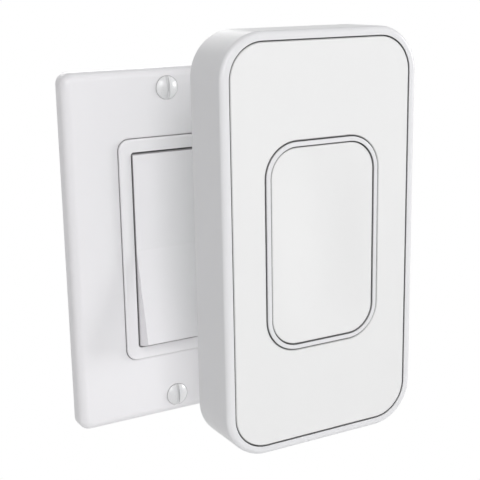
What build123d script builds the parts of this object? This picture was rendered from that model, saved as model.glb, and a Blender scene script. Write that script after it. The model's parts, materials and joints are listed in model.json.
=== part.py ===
"""Rocker light switch with its wall plate, and the powered cover that presses it.

Millimetres. The wall is the plane y = 0, the room is at -Y, +X is to the right
and +Z is up. The switch is centred on the origin. The cover is drawn where it
is held off the wall, ready to be put on.
"""
from build123d import *
from math import acos, asin, atan2, cos, degrees, hypot, pi, radians, sin, sqrt, tan
import os

os.makedirs("parts", exist_ok=True)

# Wall plate
PLATE_W = 65.0
PLATE_H = 108.5
PLATE_T = 5.6
PLATE_CORNER = 3.4
PLATE_EDGE = 2.6
PLATE_WALL = 1.8
PLATE_SKIN = 2.2
PLATE_SCREW_Z = 48.42
OPENING_W = 33.5
OPENING_H = 68.6
OPENING_R = 3.6
OPENING_GAP = 0.2
OPENING_LIP = 1.4
PLATE_BOSS_WALL = 0.8

# Screws
SCREW_SHANK_R = 1.75
SCREW_HEAD_R = 3.45
SCREW_OVAL = 1.2
SCREW_SLOT = 0.95
SCREW_SLOT_DEPTH = 1.3
SCREW_CLEAR = 0.15
THREAD_CLEAR = 0.05
PLATE_SCREW_L = 12.0
BOX_SCREW_Z = 41.67
BOX_SCREW_L = 24.0
BOX_HEAD_R = 3.4
BOX_HEAD_T = 1.4
BOX_NECK_R = 1.4
BOX_NECK_L = 2.0
BOX_SLOT_DEPTH = 0.7

# Mounting strap
STRAP_T = 1.5
STRAP_W = 33.0
STRAP_END_GAP = 0.5
EAR_W = 40.0
EAR_H = 9.0
EAR_HOLE_R = 1.6
EAR_HOLE_IN = 3.0
EAR_CORNER = 2.0
BOX_SLOT_W = 6.2
WINDOW_CLEAR = 1.05

# Bezel band and paddle
BEZEL_R = 3.4
BEZEL_FRONT = 6.6
BEZEL_EDGE = 0.6
BEZEL_BAND_X = 3.6
BEZEL_BAND_Z = 3.85
PADDLE_GAP = 0.45
PADDLE_END_GAP = 0.2
PADDLE_SWING = 11.5
PADDLE_FACE = 7.1
PADDLE_SKIN = 1.8
PADDLE_WALL = 1.5
PADDLE_RIB_T = 1.0
SKIRT_LEVEL = 1.5
PADDLE_PIVOT_Y = -1.0
TRUNNION_R = 2.0
TRUNNION_L = 1.75
PIVOT_CLEAR = 0.05
EAR_POST_T = 1.4
EAR_POST_HALF = 4.2
EAR_POST_BACK = 4.0

# Switch body and contacts
BODY_DEPTH = 25.0
BODY_WALL = 2.0
BODY_FLOOR = 2.4
BODY_END = 3.0
BODY_EDGE = 1.5
RIVET_R = 1.5
RIVET_DEPTH = 3.0
ARM_FACE_Y = 10.6
ARM_T = 0.8
ARM_W = 6.0
ARM_L = 21.0
CONTACT_Z = 8.0
CONTACT_R = 1.6
CONTACT_T = 0.8
KNIFE_CLEAR = 0.05
KNIFE_HALF = 1.2
KNIFE_RISE = 1.6
CONTACT_CLEAR = 0.08
PLUNGER_R = 1.4
PLUNGER_REACH = 10.0
PLUNGER_COLLAR = 5.2
PLUNGER_COLLAR_T = 1.0
PLUNGER_SOCKET_WALL = 0.9
SPRING_WIRE_R = 0.3
SPRING_R = 1.9
SPRING_TURNS = 5
TERMINAL_T = 1.0
TERMINAL_Y = 14.0
TERMINAL_Z = 12.0
TONGUE_W = 7.0
TONGUE_FRONT = 4.0
TERMINAL_HEAD_R = 3.6
TERMINAL_HEAD_T = 2.4
TERMINAL_SHANK_R = 1.9
TERMINAL_SHANK_L = 3.0
GROUND_FROM_EDGE = 3.5
GROUND_R = 2.8
WIRE_HOLE_R = 1.2
WIRE_HOLE_X = 5.0
WIRE_HOLE_Z = 22.0

# Cells and the bay that holds them
CELL_R = 5.25
CELL_L = 44.5
CELL_TIP_R = 1.9
CELL_TIP_L = 0.8
CELL_CLEAR = 0.15
CELL_SIDE_GAP = 0.2
CELL_WALL_GAP = 0.4
BAY_SPARE = 4.3
BAY_SHIFT = 0.6
BAY_END_T = 0.5
DOOR_GAP = 0.2
DOOR_GRIPS = 4
GRIP_PITCH = 1.6
LEAF_T = 0.4
LEAF_W = 8.0
LEAF_H = 7.0
LEAF_COIL_R = 2.4

# Cover and where it is held
COVER_T = 16.5
COVER_R = 12.2
COVER_WALL = 1.5
COVER_EDGE = 1.3
COVER_END = 4.8
SEAT_GAP = 0.3
HELD_X = 19.5
HELD_Y = 37.2
HELD_Z = 9.4

# Front panel, ring and button
RIM_W = 2.35
PANEL_T = 1.6
PANEL_GAP = 0.35
PANEL_EDGE = 0.25
LEDGE_W = 1.6
RING_HALF_W = 17.7
RING_HALF_H = 28.4
RING_R = 9.3
RING_W = 1.2
RING_GAP = 0.3
RING_PROUD = 0.2
RING_EDGE = 0.3
RING_FLANGE = 1.9
RING_FLANGE_T = 1.2
BUTTON_FLANGE = 1.1
BUTTON_FLANGE_T = 0.9
BUTTON_FACE_T = 1.9
BUTTON_DISH = 0.8
BUTTON_RIM = 1.5
BUTTON_EDGE = 0.35
BUTTON_TRAVEL = 1.0
STEM_R = 2.2
STEM_GAP = 0.1

# Back plate and recess
BACK_T = 1.5
FIT_GAP = 0.2
RECESS_SIDE = 0.85
RECESS_END = 2.7
RECESS_R = 5.0
RIB_T = 0.5
MAGNET_R = 4.4
MAGNET_T = 2.4
MAGNET_LEVEL = 2.1
MAGNET_WALL = 1.2
CASE_SCREW_X = 21.0
CASE_SHANK_R = 1.1
CASE_HEAD_R = 2.0
CASE_HEAD_T = 1.0
CASE_SCREW_L = 8.0
CASE_BOSS_R = 2.9
CASE_SINK = 0.1
PAD_T = 0.15
PAD_L = 32.0
PAD_W = 4.0
PAD_END = 0.6

# Circuit board
BOARD_LEVEL = 9.6
BOARD_T = 1.0
BOARD_SIDE = 1.0
BOARD_END = 6.5
BOARD_POST_R = 2.2
BOARD_POST_IN_X = 4.6
BOARD_POST_IN_Z = 3.0
BOARD_SCREW_R = 1.0
TACT_SIDE = 6.0
TACT_BODY_T = 1.0
TACT_CAP_R = 1.7
TACT_CAP_T = 0.3
MODULE_W = 13.0
MODULE_H = 17.0
MODULE_T = 1.7
MODULE_Z = 18.0

# Drive
SCREW_FROM_RECESS = 5.7
SCREW_LEVEL = 6.1
SCREW_R = 1.5
JOURNAL_R = 1.0
ROD_R = 1.0
ROD_LEVEL = 11.0
DRIVE_LOW = -29.0
DRIVE_HIGH = 29.0
HOLDER_T = 2.6
HOLDER_W = 7.0
HOLDER_WALL = 1.2
GEAR_MODULE = 0.4
GEAR_TEETH = 20
PINION_TEETH = 10
GEAR_T = 1.8
GEAR_Z = 31.4
GEAR_HUB_WALL = 0.9
GEAR_HUB_T = 0.8
GEAR_BACKLASH = 0.07
GEAR_SPREAD = 0.04
MOTOR_R = 3.0
MOTOR_L = 13.0
MOTOR_SHIFT_X = -2.2
MOTOR_SHAFT_R = 0.5
MOTOR_NOSE_R = 1.4
MOTOR_NOSE_T = 0.5
MOTOR_CLEAR = 1.6
MOTOR_BRACKET_T = 9.0
MOTOR_BRACKET_WALL = 1.0
CARRIAGE_W = 6.6
CARRIAGE_H = 10.0
CARRIAGE_BACK = 2.2
CARRIAGE_WALL = 1.2
CARRIAGE_REST_Z = 20.0
CARRIAGE_TRAVEL = 40.0
NUT_R = 2.6
ROLLER_R = 2.5
ROLLER_W = 6.0
ROLLER_LEVEL = 4.2
ROLLER_GAP = 0.25
ROLLER_PIN_R = 0.8
FORK_T = 1.3
FORK_WALL = 1.2
REACH_BACK = 7.6
REACH_T = 1.7
REACH_H = 8.0
REACH_OVER = 1.0
RUN_CLEAR = 0.05

# Places worked out from the sizes above
FACE_Y = -PLATE_T
BACK_Y = FACE_Y - SEAT_GAP - HELD_Y
BEZEL_W = OPENING_W - 2 * OPENING_GAP
BEZEL_H = OPENING_H - 2 * OPENING_GAP
PADDLE_W = BEZEL_W - 2 * (BEZEL_BAND_X + PADDLE_GAP)
MOUTH_W = BEZEL_W - 2 * BEZEL_BAND_X
MOUTH_H = BEZEL_H - 2 * BEZEL_BAND_Z
WINDOW_W = MOUTH_W + 2 * (EAR_POST_T + 0.9 * WINDOW_CLEAR)
WINDOW_H = MOUTH_H + 2 * WINDOW_CLEAR
BODY_W = BEZEL_W - FIT_GAP / 2
BODY_H = WINDOW_H + 5.0
RIVET_X = BODY_W / 2 - RIVET_R - 1.8
RIVET_Z = WINDOW_H / 2 + RIVET_R + 0.4
STRAP_H = PLATE_H - 2 * (PLATE_WALL + STRAP_END_GAP)
GROUND_X = STRAP_W / 2 - GROUND_FROM_EDGE
RECESS_W = BEZEL_W + 2 * RECESS_SIDE
RECESS_H = BEZEL_H + 2 * RECESS_END
CELL_X = -(RECESS_W / 2 + RIB_T + CELL_SIDE_GAP + CELL_R)
DOOR_RIGHT = CELL_X + CELL_R + CELL_SIDE_GAP / 2
DOOR_HALF_H = CELL_L + BAY_SPARE
COVER_W = 2 * (-CELL_X + CELL_R + CELL_WALL_GAP + COVER_WALL)
MOTOR_TOP = GEAR_Z + GEAR_T + MOTOR_CLEAR + MOTOR_L
CASE_SCREW_Z = max(DOOR_HALF_H + BAY_END_T, MOTOR_TOP) + CASE_BOSS_R + CASE_SINK
MAGNET_TOP = PLATE_SCREW_Z + MAGNET_R + MAGNET_WALL
COVER_H = 2 * max(CASE_SCREW_Z + COVER_END, MAGNET_TOP + FIT_GAP + COVER_WALL)
BOARD_W = RECESS_W - 2 * BOARD_SIDE
BOARD_H = RECESS_H + 2 * BOARD_END
BOARD_POST_X = BOARD_W / 2 - BOARD_POST_IN_X
BOARD_POST_Z = BOARD_H / 2 - BOARD_POST_IN_Z
PAD_Z = RECESS_H / 2 + PAD_END + PAD_W / 2
SCREW_X = RECESS_W / 2 + SCREW_FROM_RECESS
PANEL_W = COVER_W - 2 * (RIM_W + PANEL_GAP)
PANEL_H = COVER_H - 2 * (RIM_W + PANEL_GAP)
PANEL_R = COVER_R - RIM_W - PANEL_GAP
PANEL_BACK = COVER_T - PANEL_T
RING_BACK = PANEL_BACK - RING_FLANGE_T
BUTTON_W = 2 * (RING_HALF_W - RING_W - RING_GAP)
BUTTON_H = 2 * (RING_HALF_H - RING_W - RING_GAP)
BUTTON_R = RING_R - RING_W - RING_GAP
BUTTON_BACK = COVER_T - BUTTON_FACE_T
PIVOT_TO_FACE = PADDLE_FACE + PADDLE_PIVOT_Y
CREASE = PIVOT_TO_FACE / cos(radians(PADDLE_SWING / 2))
PADDLE_END_R = MOUTH_H / 2 - PADDLE_END_GAP
KNIFE_Y = ARM_FACE_Y + ARM_T
GEAR_CENTRES = GEAR_MODULE * (GEAR_TEETH + PINION_TEETH) / 2 + GEAR_SPREAD
MOTOR_X = SCREW_X + MOTOR_SHIFT_X
MOTOR_LEVEL = SCREW_LEVEL + sqrt(GEAR_CENTRES**2 - MOTOR_SHIFT_X**2)
GEAR_ANGLE = degrees(atan2(SCREW_LEVEL - MOTOR_LEVEL, MOTOR_SHIFT_X))


def facing_room(y, x=0.0, z=0.0):
    """Sketch plane parallel to the wall: local x is +X, local y is +Z, and it extrudes to the room."""
    return Plane(origin=(x, y, z), x_dir=(1, 0, 0), z_dir=(0, -1, 0))


def in_cover(level, x=0.0, z=0.0):
    """The same kind of plane in the cover, at a level above its back."""
    return facing_room(BACK_Y - level, HELD_X + x, HELD_Z + z)


def side_on(x, y=0.0, z=0.0, tilt=0.0):
    """Sketch plane seen from the side: local x is +Y, local y is +Z, and it extrudes to +X."""
    turn = radians(tilt)
    return Plane(origin=(x, y, z), x_dir=(0, cos(turn), sin(turn)), z_dir=(1, 0, 0))


def inward(plane):
    """Plane across a side view plane: it extrudes along that view's local x."""
    return Plane(origin=plane.origin, x_dir=-plane.z_dir, z_dir=plane.x_dir)


def upright(x, y, z):
    """Level sketch plane: it extrudes up."""
    return Plane(origin=(x, y, z))


def cover_upright(x, level, z):
    """Level sketch plane in the cover."""
    return upright(HELD_X + x, BACK_Y - level, HELD_Z + z)


def cover_point(x, level, z):
    """A point of the cover in the shared frame."""
    return (HELD_X + x, BACK_Y - level, HELD_Z + z)


def gear_outline(teeth, backlash, turn):
    """Closed involute outline of a spur gear, 20 degrees of pressure angle, turned by an angle in degrees."""
    pitch = GEAR_MODULE * teeth / 2
    base = pitch * cos(radians(20))
    tip = pitch + 0.85 * GEAR_MODULE
    root = pitch - 1.15 * GEAR_MODULE
    flank = [max(base, root) + (tip - max(base, root)) * step / 3 for step in range(4)]

    def half_tooth(radius):
        pressure = acos(base / radius)
        return pi / (2 * teeth) - backlash / (2 * pitch) + tan(radians(20)) - radians(20) - tan(pressure) + pressure

    points = []
    for tooth in range(teeth):
        middle = radians(turn) + 2 * pi * tooth / teeth
        sides = [(root, -half_tooth(flank[0]))]
        sides += [(radius, -half_tooth(radius)) for radius in flank]
        sides += [(radius, half_tooth(radius)) for radius in reversed(flank)]
        sides += [(root, half_tooth(flank[0]))]
        points += [(radius * cos(middle + angle), radius * sin(middle + angle)) for radius, angle in sides]
    return points


def finish(piece, name):
    """Label one piece and write its file."""
    piece.part.label = name
    export_step(piece.part, f"parts/{name}.step")


# Wall plate: a hollow moulding with a lip round the opening and a boss behind each screw
with BuildPart() as wall_plate:
    with BuildSketch(facing_room(0)):
        RectangleRounded(PLATE_W, PLATE_H, PLATE_CORNER)
    extrude(amount=PLATE_T)
    fillet(wall_plate.faces().sort_by(Axis.Y)[0].edges(), PLATE_EDGE)
    with BuildSketch(facing_room(0)):
        RectangleRounded(PLATE_W - 2 * PLATE_WALL, PLATE_H - 2 * PLATE_WALL, PLATE_CORNER - PLATE_WALL)
    extrude(amount=PLATE_T - PLATE_SKIN, mode=Mode.SUBTRACT)
    with BuildSketch(facing_room(-STRAP_T)):
        RectangleRounded(OPENING_W + 2 * OPENING_LIP, OPENING_H + 2 * OPENING_LIP, OPENING_R + OPENING_LIP)
        with Locations((0, PLATE_SCREW_Z), (0, -PLATE_SCREW_Z)):
            Circle(SCREW_SHANK_R + SCREW_CLEAR + PLATE_BOSS_WALL)
    extrude(amount=PLATE_T - PLATE_SKIN - STRAP_T)
    with BuildSketch(facing_room(0)):
        RectangleRounded(OPENING_W, OPENING_H, OPENING_R)
    extrude(amount=PLATE_T, mode=Mode.SUBTRACT)
    with Locations(facing_room(FACE_Y, 0, PLATE_SCREW_Z), facing_room(FACE_Y, 0, -PLATE_SCREW_Z)):
        CounterSinkHole(SCREW_SHANK_R + SCREW_CLEAR, SCREW_HEAD_R + SCREW_CLEAR, counter_sink_angle=82)
finish(wall_plate, "wall_plate")


# Oval-head plate screws, their slots upright
for place, side in (("upper", 1), ("lower", -1)):
    with BuildPart() as plate_screw:
        centre_z = side * PLATE_SCREW_Z
        cone = (SCREW_HEAD_R - SCREW_SHANK_R) / tan(radians(41))
        with BuildSketch(side_on(0, FACE_Y, centre_z)):
            with BuildLine():
                Line((PLATE_SCREW_L, 0), (PLATE_SCREW_L, SCREW_SHANK_R - 0.5))
                Line((PLATE_SCREW_L, SCREW_SHANK_R - 0.5), (PLATE_SCREW_L - 0.5, SCREW_SHANK_R))
                Line((PLATE_SCREW_L - 0.5, SCREW_SHANK_R), (cone, SCREW_SHANK_R))
                Line((cone, SCREW_SHANK_R), (0, SCREW_HEAD_R))
                ThreePointArc(
                    (0, SCREW_HEAD_R), (-SCREW_OVAL * 0.78, SCREW_HEAD_R * 0.5), (-SCREW_OVAL, 0)
                )
                Line((-SCREW_OVAL, 0), (PLATE_SCREW_L, 0))
            make_face()
        revolve(axis=Axis((0, FACE_Y, centre_z), (0, 1, 0)))
        with Locations((0, FACE_Y - SCREW_OVAL, centre_z)):
            Box(SCREW_SLOT, 2 * SCREW_SLOT_DEPTH, 3 * SCREW_HEAD_R, mode=Mode.SUBTRACT)
    finish(plate_screw, f"plate_screw_{place}")


# Mounting strap: the steel yoke flat on the wall, with plaster ears, box slots and the body's window
with BuildPart() as mounting_strap:
    with BuildSketch(facing_room(0)):
        Rectangle(STRAP_W, STRAP_H)
        with Locations((0, (STRAP_H - EAR_H) / 2), (0, (EAR_H - STRAP_H) / 2)):
            RectangleRounded(EAR_W, EAR_H, EAR_CORNER)
        Rectangle(WINDOW_W, WINDOW_H, mode=Mode.SUBTRACT)
        with Locations((0, BOX_SCREW_Z), (0, -BOX_SCREW_Z)):
            SlotCenterToCenter(BOX_SLOT_W, 2 * (SCREW_SHANK_R + SCREW_CLEAR), mode=Mode.SUBTRACT)
        with Locations((0, PLATE_SCREW_Z), (0, -PLATE_SCREW_Z)):
            Circle(SCREW_SHANK_R + THREAD_CLEAR, mode=Mode.SUBTRACT)
        with GridLocations(2 * RIVET_X, 2 * RIVET_Z, 2, 2):
            Circle(RIVET_R, mode=Mode.SUBTRACT)
        with GridLocations(EAR_W - 2 * EAR_HOLE_IN, STRAP_H - EAR_H, 2, 2):
            Circle(EAR_HOLE_R, mode=Mode.SUBTRACT)
    extrude(amount=STRAP_T)
finish(mounting_strap, "mounting_strap")


# Box screws: pan heads on the strap, shanks into the wall box
for place, side in (("upper", 1), ("lower", -1)):
    with BuildPart() as box_screw:
        with BuildSketch(facing_room(-STRAP_T, 0, side * BOX_SCREW_Z)):
            Circle(BOX_HEAD_R)
        extrude(amount=BOX_HEAD_T)
        chamfer(box_screw.faces().sort_by(Axis.Y)[0].edges(), 0.5)
        # undercut neck through the strap, then the threaded shank
        with BuildSketch(facing_room(-STRAP_T, 0, side * BOX_SCREW_Z)):
            Circle(BOX_NECK_R)
        extrude(amount=-BOX_NECK_L)
        with BuildSketch(facing_room(BOX_NECK_L - STRAP_T, 0, side * BOX_SCREW_Z)):
            Circle(SCREW_SHANK_R)
        extrude(amount=BOX_NECK_L - BOX_SCREW_L)
        chamfer(box_screw.faces().sort_by(Axis.Y)[-1].edges(), 0.5)
        with Locations((0, -STRAP_T - BOX_HEAD_T, side * BOX_SCREW_Z)):
            Box(3 * BOX_HEAD_R, 2 * BOX_SLOT_DEPTH, SCREW_SLOT, mode=Mode.SUBTRACT)
    finish(box_screw, f"box_screw_{place}")


# Bezel band round the paddle, with the two posts that hold the paddle's trunnions
with BuildPart() as switch_frame:
    with BuildSketch(facing_room(-STRAP_T)):
        RectangleRounded(BEZEL_W, BEZEL_H, BEZEL_R)
    extrude(amount=BEZEL_FRONT - STRAP_T)
    fillet(switch_frame.faces().sort_by(Axis.Y)[0].edges(), BEZEL_EDGE)
    with BuildSketch(facing_room(-STRAP_T)):
        RectangleRounded(MOUTH_W, MOUTH_H, 1.0)
    extrude(amount=BEZEL_FRONT - STRAP_T, mode=Mode.SUBTRACT)
    for side in (1, -1):
        inner = side * MOUTH_W / 2
        with BuildSketch(side_on(inner, 0, 0)):
            with Locations(((EAR_POST_BACK - STRAP_T) / 2 - 0.5, 0)):
                Rectangle(EAR_POST_BACK + STRAP_T + 1.0, 2 * EAR_POST_HALF)
        extrude(amount=side * EAR_POST_T)
        with BuildSketch(side_on(inner, PADDLE_PIVOT_Y, 0)):
            Circle(TRUNNION_R + PIVOT_CLEAR)
        extrude(amount=side * EAR_POST_T, mode=Mode.SUBTRACT)
finish(switch_frame, "switch_frame")


# Paddle: a shallow V with skirts, ends turned on the pivot's centre, trunnions and the plunger's socket
def paddle_profile(inset):
    """Points of the paddle's side view in the middle of its swing, pivot at zero, x to the back, y up."""
    slope = tan(radians(PADDLE_SWING / 2))
    end = PADDLE_END_R - inset
    front = CREASE - inset
    # where the sloping face meets the round end
    a, b, c = 1 + slope**2, 2 * front * slope, front**2 - end**2
    top_z = (-b + sqrt(b * b - 4 * a * c)) / (2 * a)
    top_y = -(front + slope * top_z)
    skirt_z = sqrt(end**2 - SKIRT_LEVEL**2)
    middle = (top_y - SKIRT_LEVEL) / 2
    return front, top_y, top_z, skirt_z, middle, sqrt(end**2 - middle**2)


def paddle_outline(inset):
    """Edges of that side view."""
    front, top_y, top_z, skirt_z, middle_y, middle_z = paddle_profile(inset)
    with BuildLine(Plane.XY) as outline:
        Line((-front, 0), (top_y, top_z))
        ThreePointArc((top_y, top_z), (middle_y, middle_z), (-SKIRT_LEVEL, skirt_z))
        Line((-SKIRT_LEVEL, skirt_z), (-SKIRT_LEVEL, -skirt_z))
        ThreePointArc((-SKIRT_LEVEL, -skirt_z), (middle_y, -middle_z), (top_y, -top_z))
        Line((top_y, -top_z), (-front, 0))
    return outline.edges()


def tilted(x):
    """Side view plane turned with the paddle at rest: its upper half is pressed in."""
    return side_on(x, PADDLE_PIVOT_Y, 0, -PADDLE_SWING / 2)


paddle_outside = paddle_outline(0)
paddle_inside = paddle_outline(PADDLE_SKIN)
with BuildPart() as rocker_paddle:
    with BuildSketch(tilted(-PADDLE_W / 2)):
        make_face(paddle_outside)
    extrude(amount=PADDLE_W)
    with BuildSketch(tilted(-PADDLE_W / 2 + PADDLE_WALL)):
        make_face(paddle_inside)
    extrude(amount=PADDLE_W - 2 * PADDLE_WALL, mode=Mode.SUBTRACT)
    for side in (1, -1):
        with BuildSketch(tilted(side * PADDLE_W / 2)):
            Circle(TRUNNION_R + 1.2)
            with Locations((-SKIRT_LEVEL, 0)):
                Rectangle(2 * SKIRT_LEVEL, 2 * TRUNNION_R + 2.4)
        extrude(amount=-side * PADDLE_WALL)
        with BuildSketch(tilted(side * PADDLE_W / 2)):
            Circle(TRUNNION_R)
        extrude(amount=side * TRUNNION_L)
        # inner rib that stiffens the skirt
        with BuildSketch(tilted(side * PADDLE_W / 4)):
            with Locations((-(CREASE + SKIRT_LEVEL) / 2, 0)):
                Rectangle(CREASE - SKIRT_LEVEL - 0.4, 1.33 * PADDLE_END_R)
        extrude(amount=side * PADDLE_RIB_T)
    with BuildSketch(tilted(-SPRING_R - PLUNGER_SOCKET_WALL)):
        with Locations((-CREASE / 2 + 1.0, 0)):
            Rectangle(CREASE, 2 * (SPRING_R + PLUNGER_SOCKET_WALL))
    extrude(amount=2 * (SPRING_R + PLUNGER_SOCKET_WALL))
    socket = inward(tilted(0))
    with BuildSketch(socket.offset(-CREASE + PADDLE_SKIN + 0.3)):
        Circle(SPRING_R + 0.15)
    extrude(amount=CREASE + 6, mode=Mode.SUBTRACT)
finish(rocker_paddle, "rocker_paddle")


# Plunger and its spring, between the paddle and the contact arm
collar_end = PLUNGER_COLLAR + PLUNGER_COLLAR_T
with BuildPart() as spring_plunger:
    with BuildSketch(tilted(0)):
        with BuildLine():
            Line((PLUNGER_COLLAR, 0), (PLUNGER_COLLAR, SPRING_R - 0.1))
            Line((PLUNGER_COLLAR, SPRING_R - 0.1), (collar_end, SPRING_R - 0.1))
            Line((collar_end, SPRING_R - 0.1), (collar_end, PLUNGER_R))
            Line((collar_end, PLUNGER_R), (PLUNGER_REACH, PLUNGER_R))
            ThreePointArc(
                (PLUNGER_REACH, PLUNGER_R),
                (PLUNGER_REACH + PLUNGER_R * sin(pi / 4), PLUNGER_R * cos(pi / 4)),
                (PLUNGER_REACH + PLUNGER_R, 0),
            )
            Line((PLUNGER_REACH + PLUNGER_R, 0), (PLUNGER_COLLAR, 0))
        make_face()
    plunger_axis = Axis((0, PADDLE_PIVOT_Y, 0), tilted(0).x_dir)
    revolve(axis=plunger_axis)
finish(spring_plunger, "spring_plunger")

with BuildPart() as toggle_spring:
    spring_start = -CREASE + PADDLE_SKIN + 0.3 + SPRING_WIRE_R
    spring_length = PLUNGER_COLLAR - SPRING_WIRE_R - spring_start
    coil_plane = socket.offset(spring_start)
    with BuildLine():
        coil = Helix(spring_length / SPRING_TURNS, spring_length, SPRING_R - SPRING_WIRE_R,
                     center=coil_plane.origin, direction=coil_plane.z_dir)
    with BuildSketch(Plane(origin=coil @ 0, z_dir=coil % 0)):
        RegularPolygon(SPRING_WIRE_R, 6)
    sweep(is_frenet=True)
finish(toggle_spring, "toggle_spring")


# Switch body: the moulded tray behind the strap, with ribs, side notches and wire holes
with BuildPart() as switch_body:
    with BuildSketch(facing_room(BODY_DEPTH)):
        RectangleRounded(BODY_W, BODY_H, 2.0)
    extrude(amount=BODY_DEPTH)
    chamfer(switch_body.faces().sort_by(Axis.Y)[-1].edges(), BODY_EDGE)
    with BuildSketch(facing_room(BODY_DEPTH - BODY_FLOOR)):
        Rectangle(BODY_W - 2 * BODY_WALL, BODY_H - 2 * BODY_END)
    extrude(amount=BODY_DEPTH - BODY_FLOOR, mode=Mode.SUBTRACT)
    # side notch where the terminals come out
    with Locations((BODY_W / 2, TERMINAL_Y, 0)):
        Box(3 * BODY_WALL, 2 * TONGUE_FRONT + 2.0, 2 * (TERMINAL_Z + TERMINAL_HEAD_R) + 1.8, mode=Mode.SUBTRACT)
    with BuildSketch(facing_room(RIVET_DEPTH)):
        with GridLocations(2 * RIVET_X, 2 * RIVET_Z, 2, 2):
            Circle(RIVET_R)
    extrude(amount=RIVET_DEPTH, mode=Mode.SUBTRACT)
    with BuildSketch(facing_room(BODY_DEPTH)):
        with GridLocations(2 * WIRE_HOLE_X, 2 * WIRE_HOLE_Z, 2, 2):
            Circle(WIRE_HOLE_R)
    extrude(amount=BODY_FLOOR, mode=Mode.SUBTRACT)
finish(switch_body, "switch_body")


# Rivets that tie bezel, strap and body together
for place, x_side, z_side in (("ul", -1, 1), ("ur", 1, 1), ("ll", -1, -1), ("lr", 1, -1)):
    with BuildPart() as strap_rivet:
        with BuildSketch(facing_room(RIVET_DEPTH, x_side * RIVET_X, z_side * RIVET_Z)):
            Circle(RIVET_R)
        extrude(amount=RIVET_DEPTH + STRAP_T)
    finish(strap_rivet, f"strap_rivet_{place}")


# Line terminal: knife edge under the contact arm, foot on the floor, tongue to its screw
TONGUE_X = BODY_W / 2 - BODY_WALL - 0.1 - TERMINAL_T
foot_y = BODY_DEPTH - BODY_FLOOR
tongue_y = TERMINAL_Y - TONGUE_FRONT
with BuildPart() as line_terminal:
    with BuildSketch(side_on(-ARM_W / 2, 0, 0)):
        with BuildLine():
            Polyline(
                (KNIFE_Y + KNIFE_CLEAR, 0), (KNIFE_Y + KNIFE_RISE, KNIFE_HALF), (foot_y, KNIFE_HALF),
                (foot_y, -KNIFE_HALF), (KNIFE_Y + KNIFE_RISE, -KNIFE_HALF), close=True,
            )
        make_face()
    extrude(amount=ARM_W)
    with BuildSketch(facing_room(foot_y)):
        with Locations(((TONGUE_X + TERMINAL_T - ARM_W / 2) / 2, (TERMINAL_Z + TONGUE_W / 2 - KNIFE_HALF) / 2)):
            Rectangle(TONGUE_X + TERMINAL_T + ARM_W / 2, TERMINAL_Z + TONGUE_W / 2 + KNIFE_HALF)
    extrude(amount=TERMINAL_T)
    with BuildSketch(side_on(TONGUE_X, 0, 0)):
        with Locations(((foot_y + tongue_y) / 2, TERMINAL_Z)):
            Rectangle(foot_y - tongue_y, TONGUE_W)
        with Locations((TERMINAL_Y, TERMINAL_Z)):
            Circle(TERMINAL_SHANK_R + THREAD_CLEAR, mode=Mode.SUBTRACT)
    extrude(amount=TERMINAL_T)
finish(line_terminal, "line_terminal")


# Load terminal: stand under the fixed contact and tongue to its screw
half_swing = radians(PADDLE_SWING / 2)
contact_back = KNIFE_Y + CONTACT_Z * sin(half_swing) + CONTACT_T * cos(half_swing) + CONTACT_R * sin(half_swing)
FIXED_FACE_Y = contact_back + CONTACT_CLEAR
with BuildPart() as load_terminal:
    with BuildSketch(facing_room(foot_y, 0, -CONTACT_Z)):
        Rectangle(ARM_W, 2.4 * CONTACT_R)
    extrude(amount=foot_y - FIXED_FACE_Y - CONTACT_T)
    with BuildSketch(facing_room(foot_y)):
        with Locations(((TONGUE_X + TERMINAL_T - ARM_W / 2) / 2, -(TERMINAL_Z + TONGUE_W / 2 + CONTACT_Z - CONTACT_R) / 2)):
            Rectangle(TONGUE_X + TERMINAL_T + ARM_W / 2, TERMINAL_Z + TONGUE_W / 2 - CONTACT_Z + CONTACT_R)
    extrude(amount=TERMINAL_T)
    with BuildSketch(side_on(TONGUE_X, 0, 0)):
        with Locations(((foot_y + tongue_y) / 2, -TERMINAL_Z)):
            Rectangle(foot_y - tongue_y, TONGUE_W)
        with Locations((TERMINAL_Y, -TERMINAL_Z)):
            Circle(TERMINAL_SHANK_R + THREAD_CLEAR, mode=Mode.SUBTRACT)
    extrude(amount=TERMINAL_T)
finish(load_terminal, "load_terminal")

with BuildPart() as fixed_contact:
    with BuildSketch(facing_room(FIXED_FACE_Y + CONTACT_T, 0, -CONTACT_Z)):
        Circle(CONTACT_R)
    extrude(amount=CONTACT_T)
finish(fixed_contact, "fixed_contact")


# Contact arm: a brass see-saw on the knife edge, its contact side pressed to the back at rest
def see_saw(x):
    """Side view plane turned with the contact arm at rest."""
    return side_on(x, KNIFE_Y, 0, PADDLE_SWING / 2)


with BuildPart() as contact_arm:
    with BuildSketch(see_saw(-ARM_W / 2)):
        with Locations((-ARM_T / 2, 0)):
            Rectangle(ARM_T, ARM_L)
    extrude(amount=ARM_W)
    fillet(contact_arm.edges().filter_by(lambda edge: abs(edge.length - ARM_T) < 0.01), 1.5)
finish(contact_arm, "contact_arm")

with BuildPart() as moving_contact:
    pad_plane = inward(see_saw(0))
    with BuildSketch(pad_plane):
        with Locations((0, -CONTACT_Z)):
            Circle(CONTACT_R)
    extrude(amount=CONTACT_T)
finish(moving_contact, "moving_contact")


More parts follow.
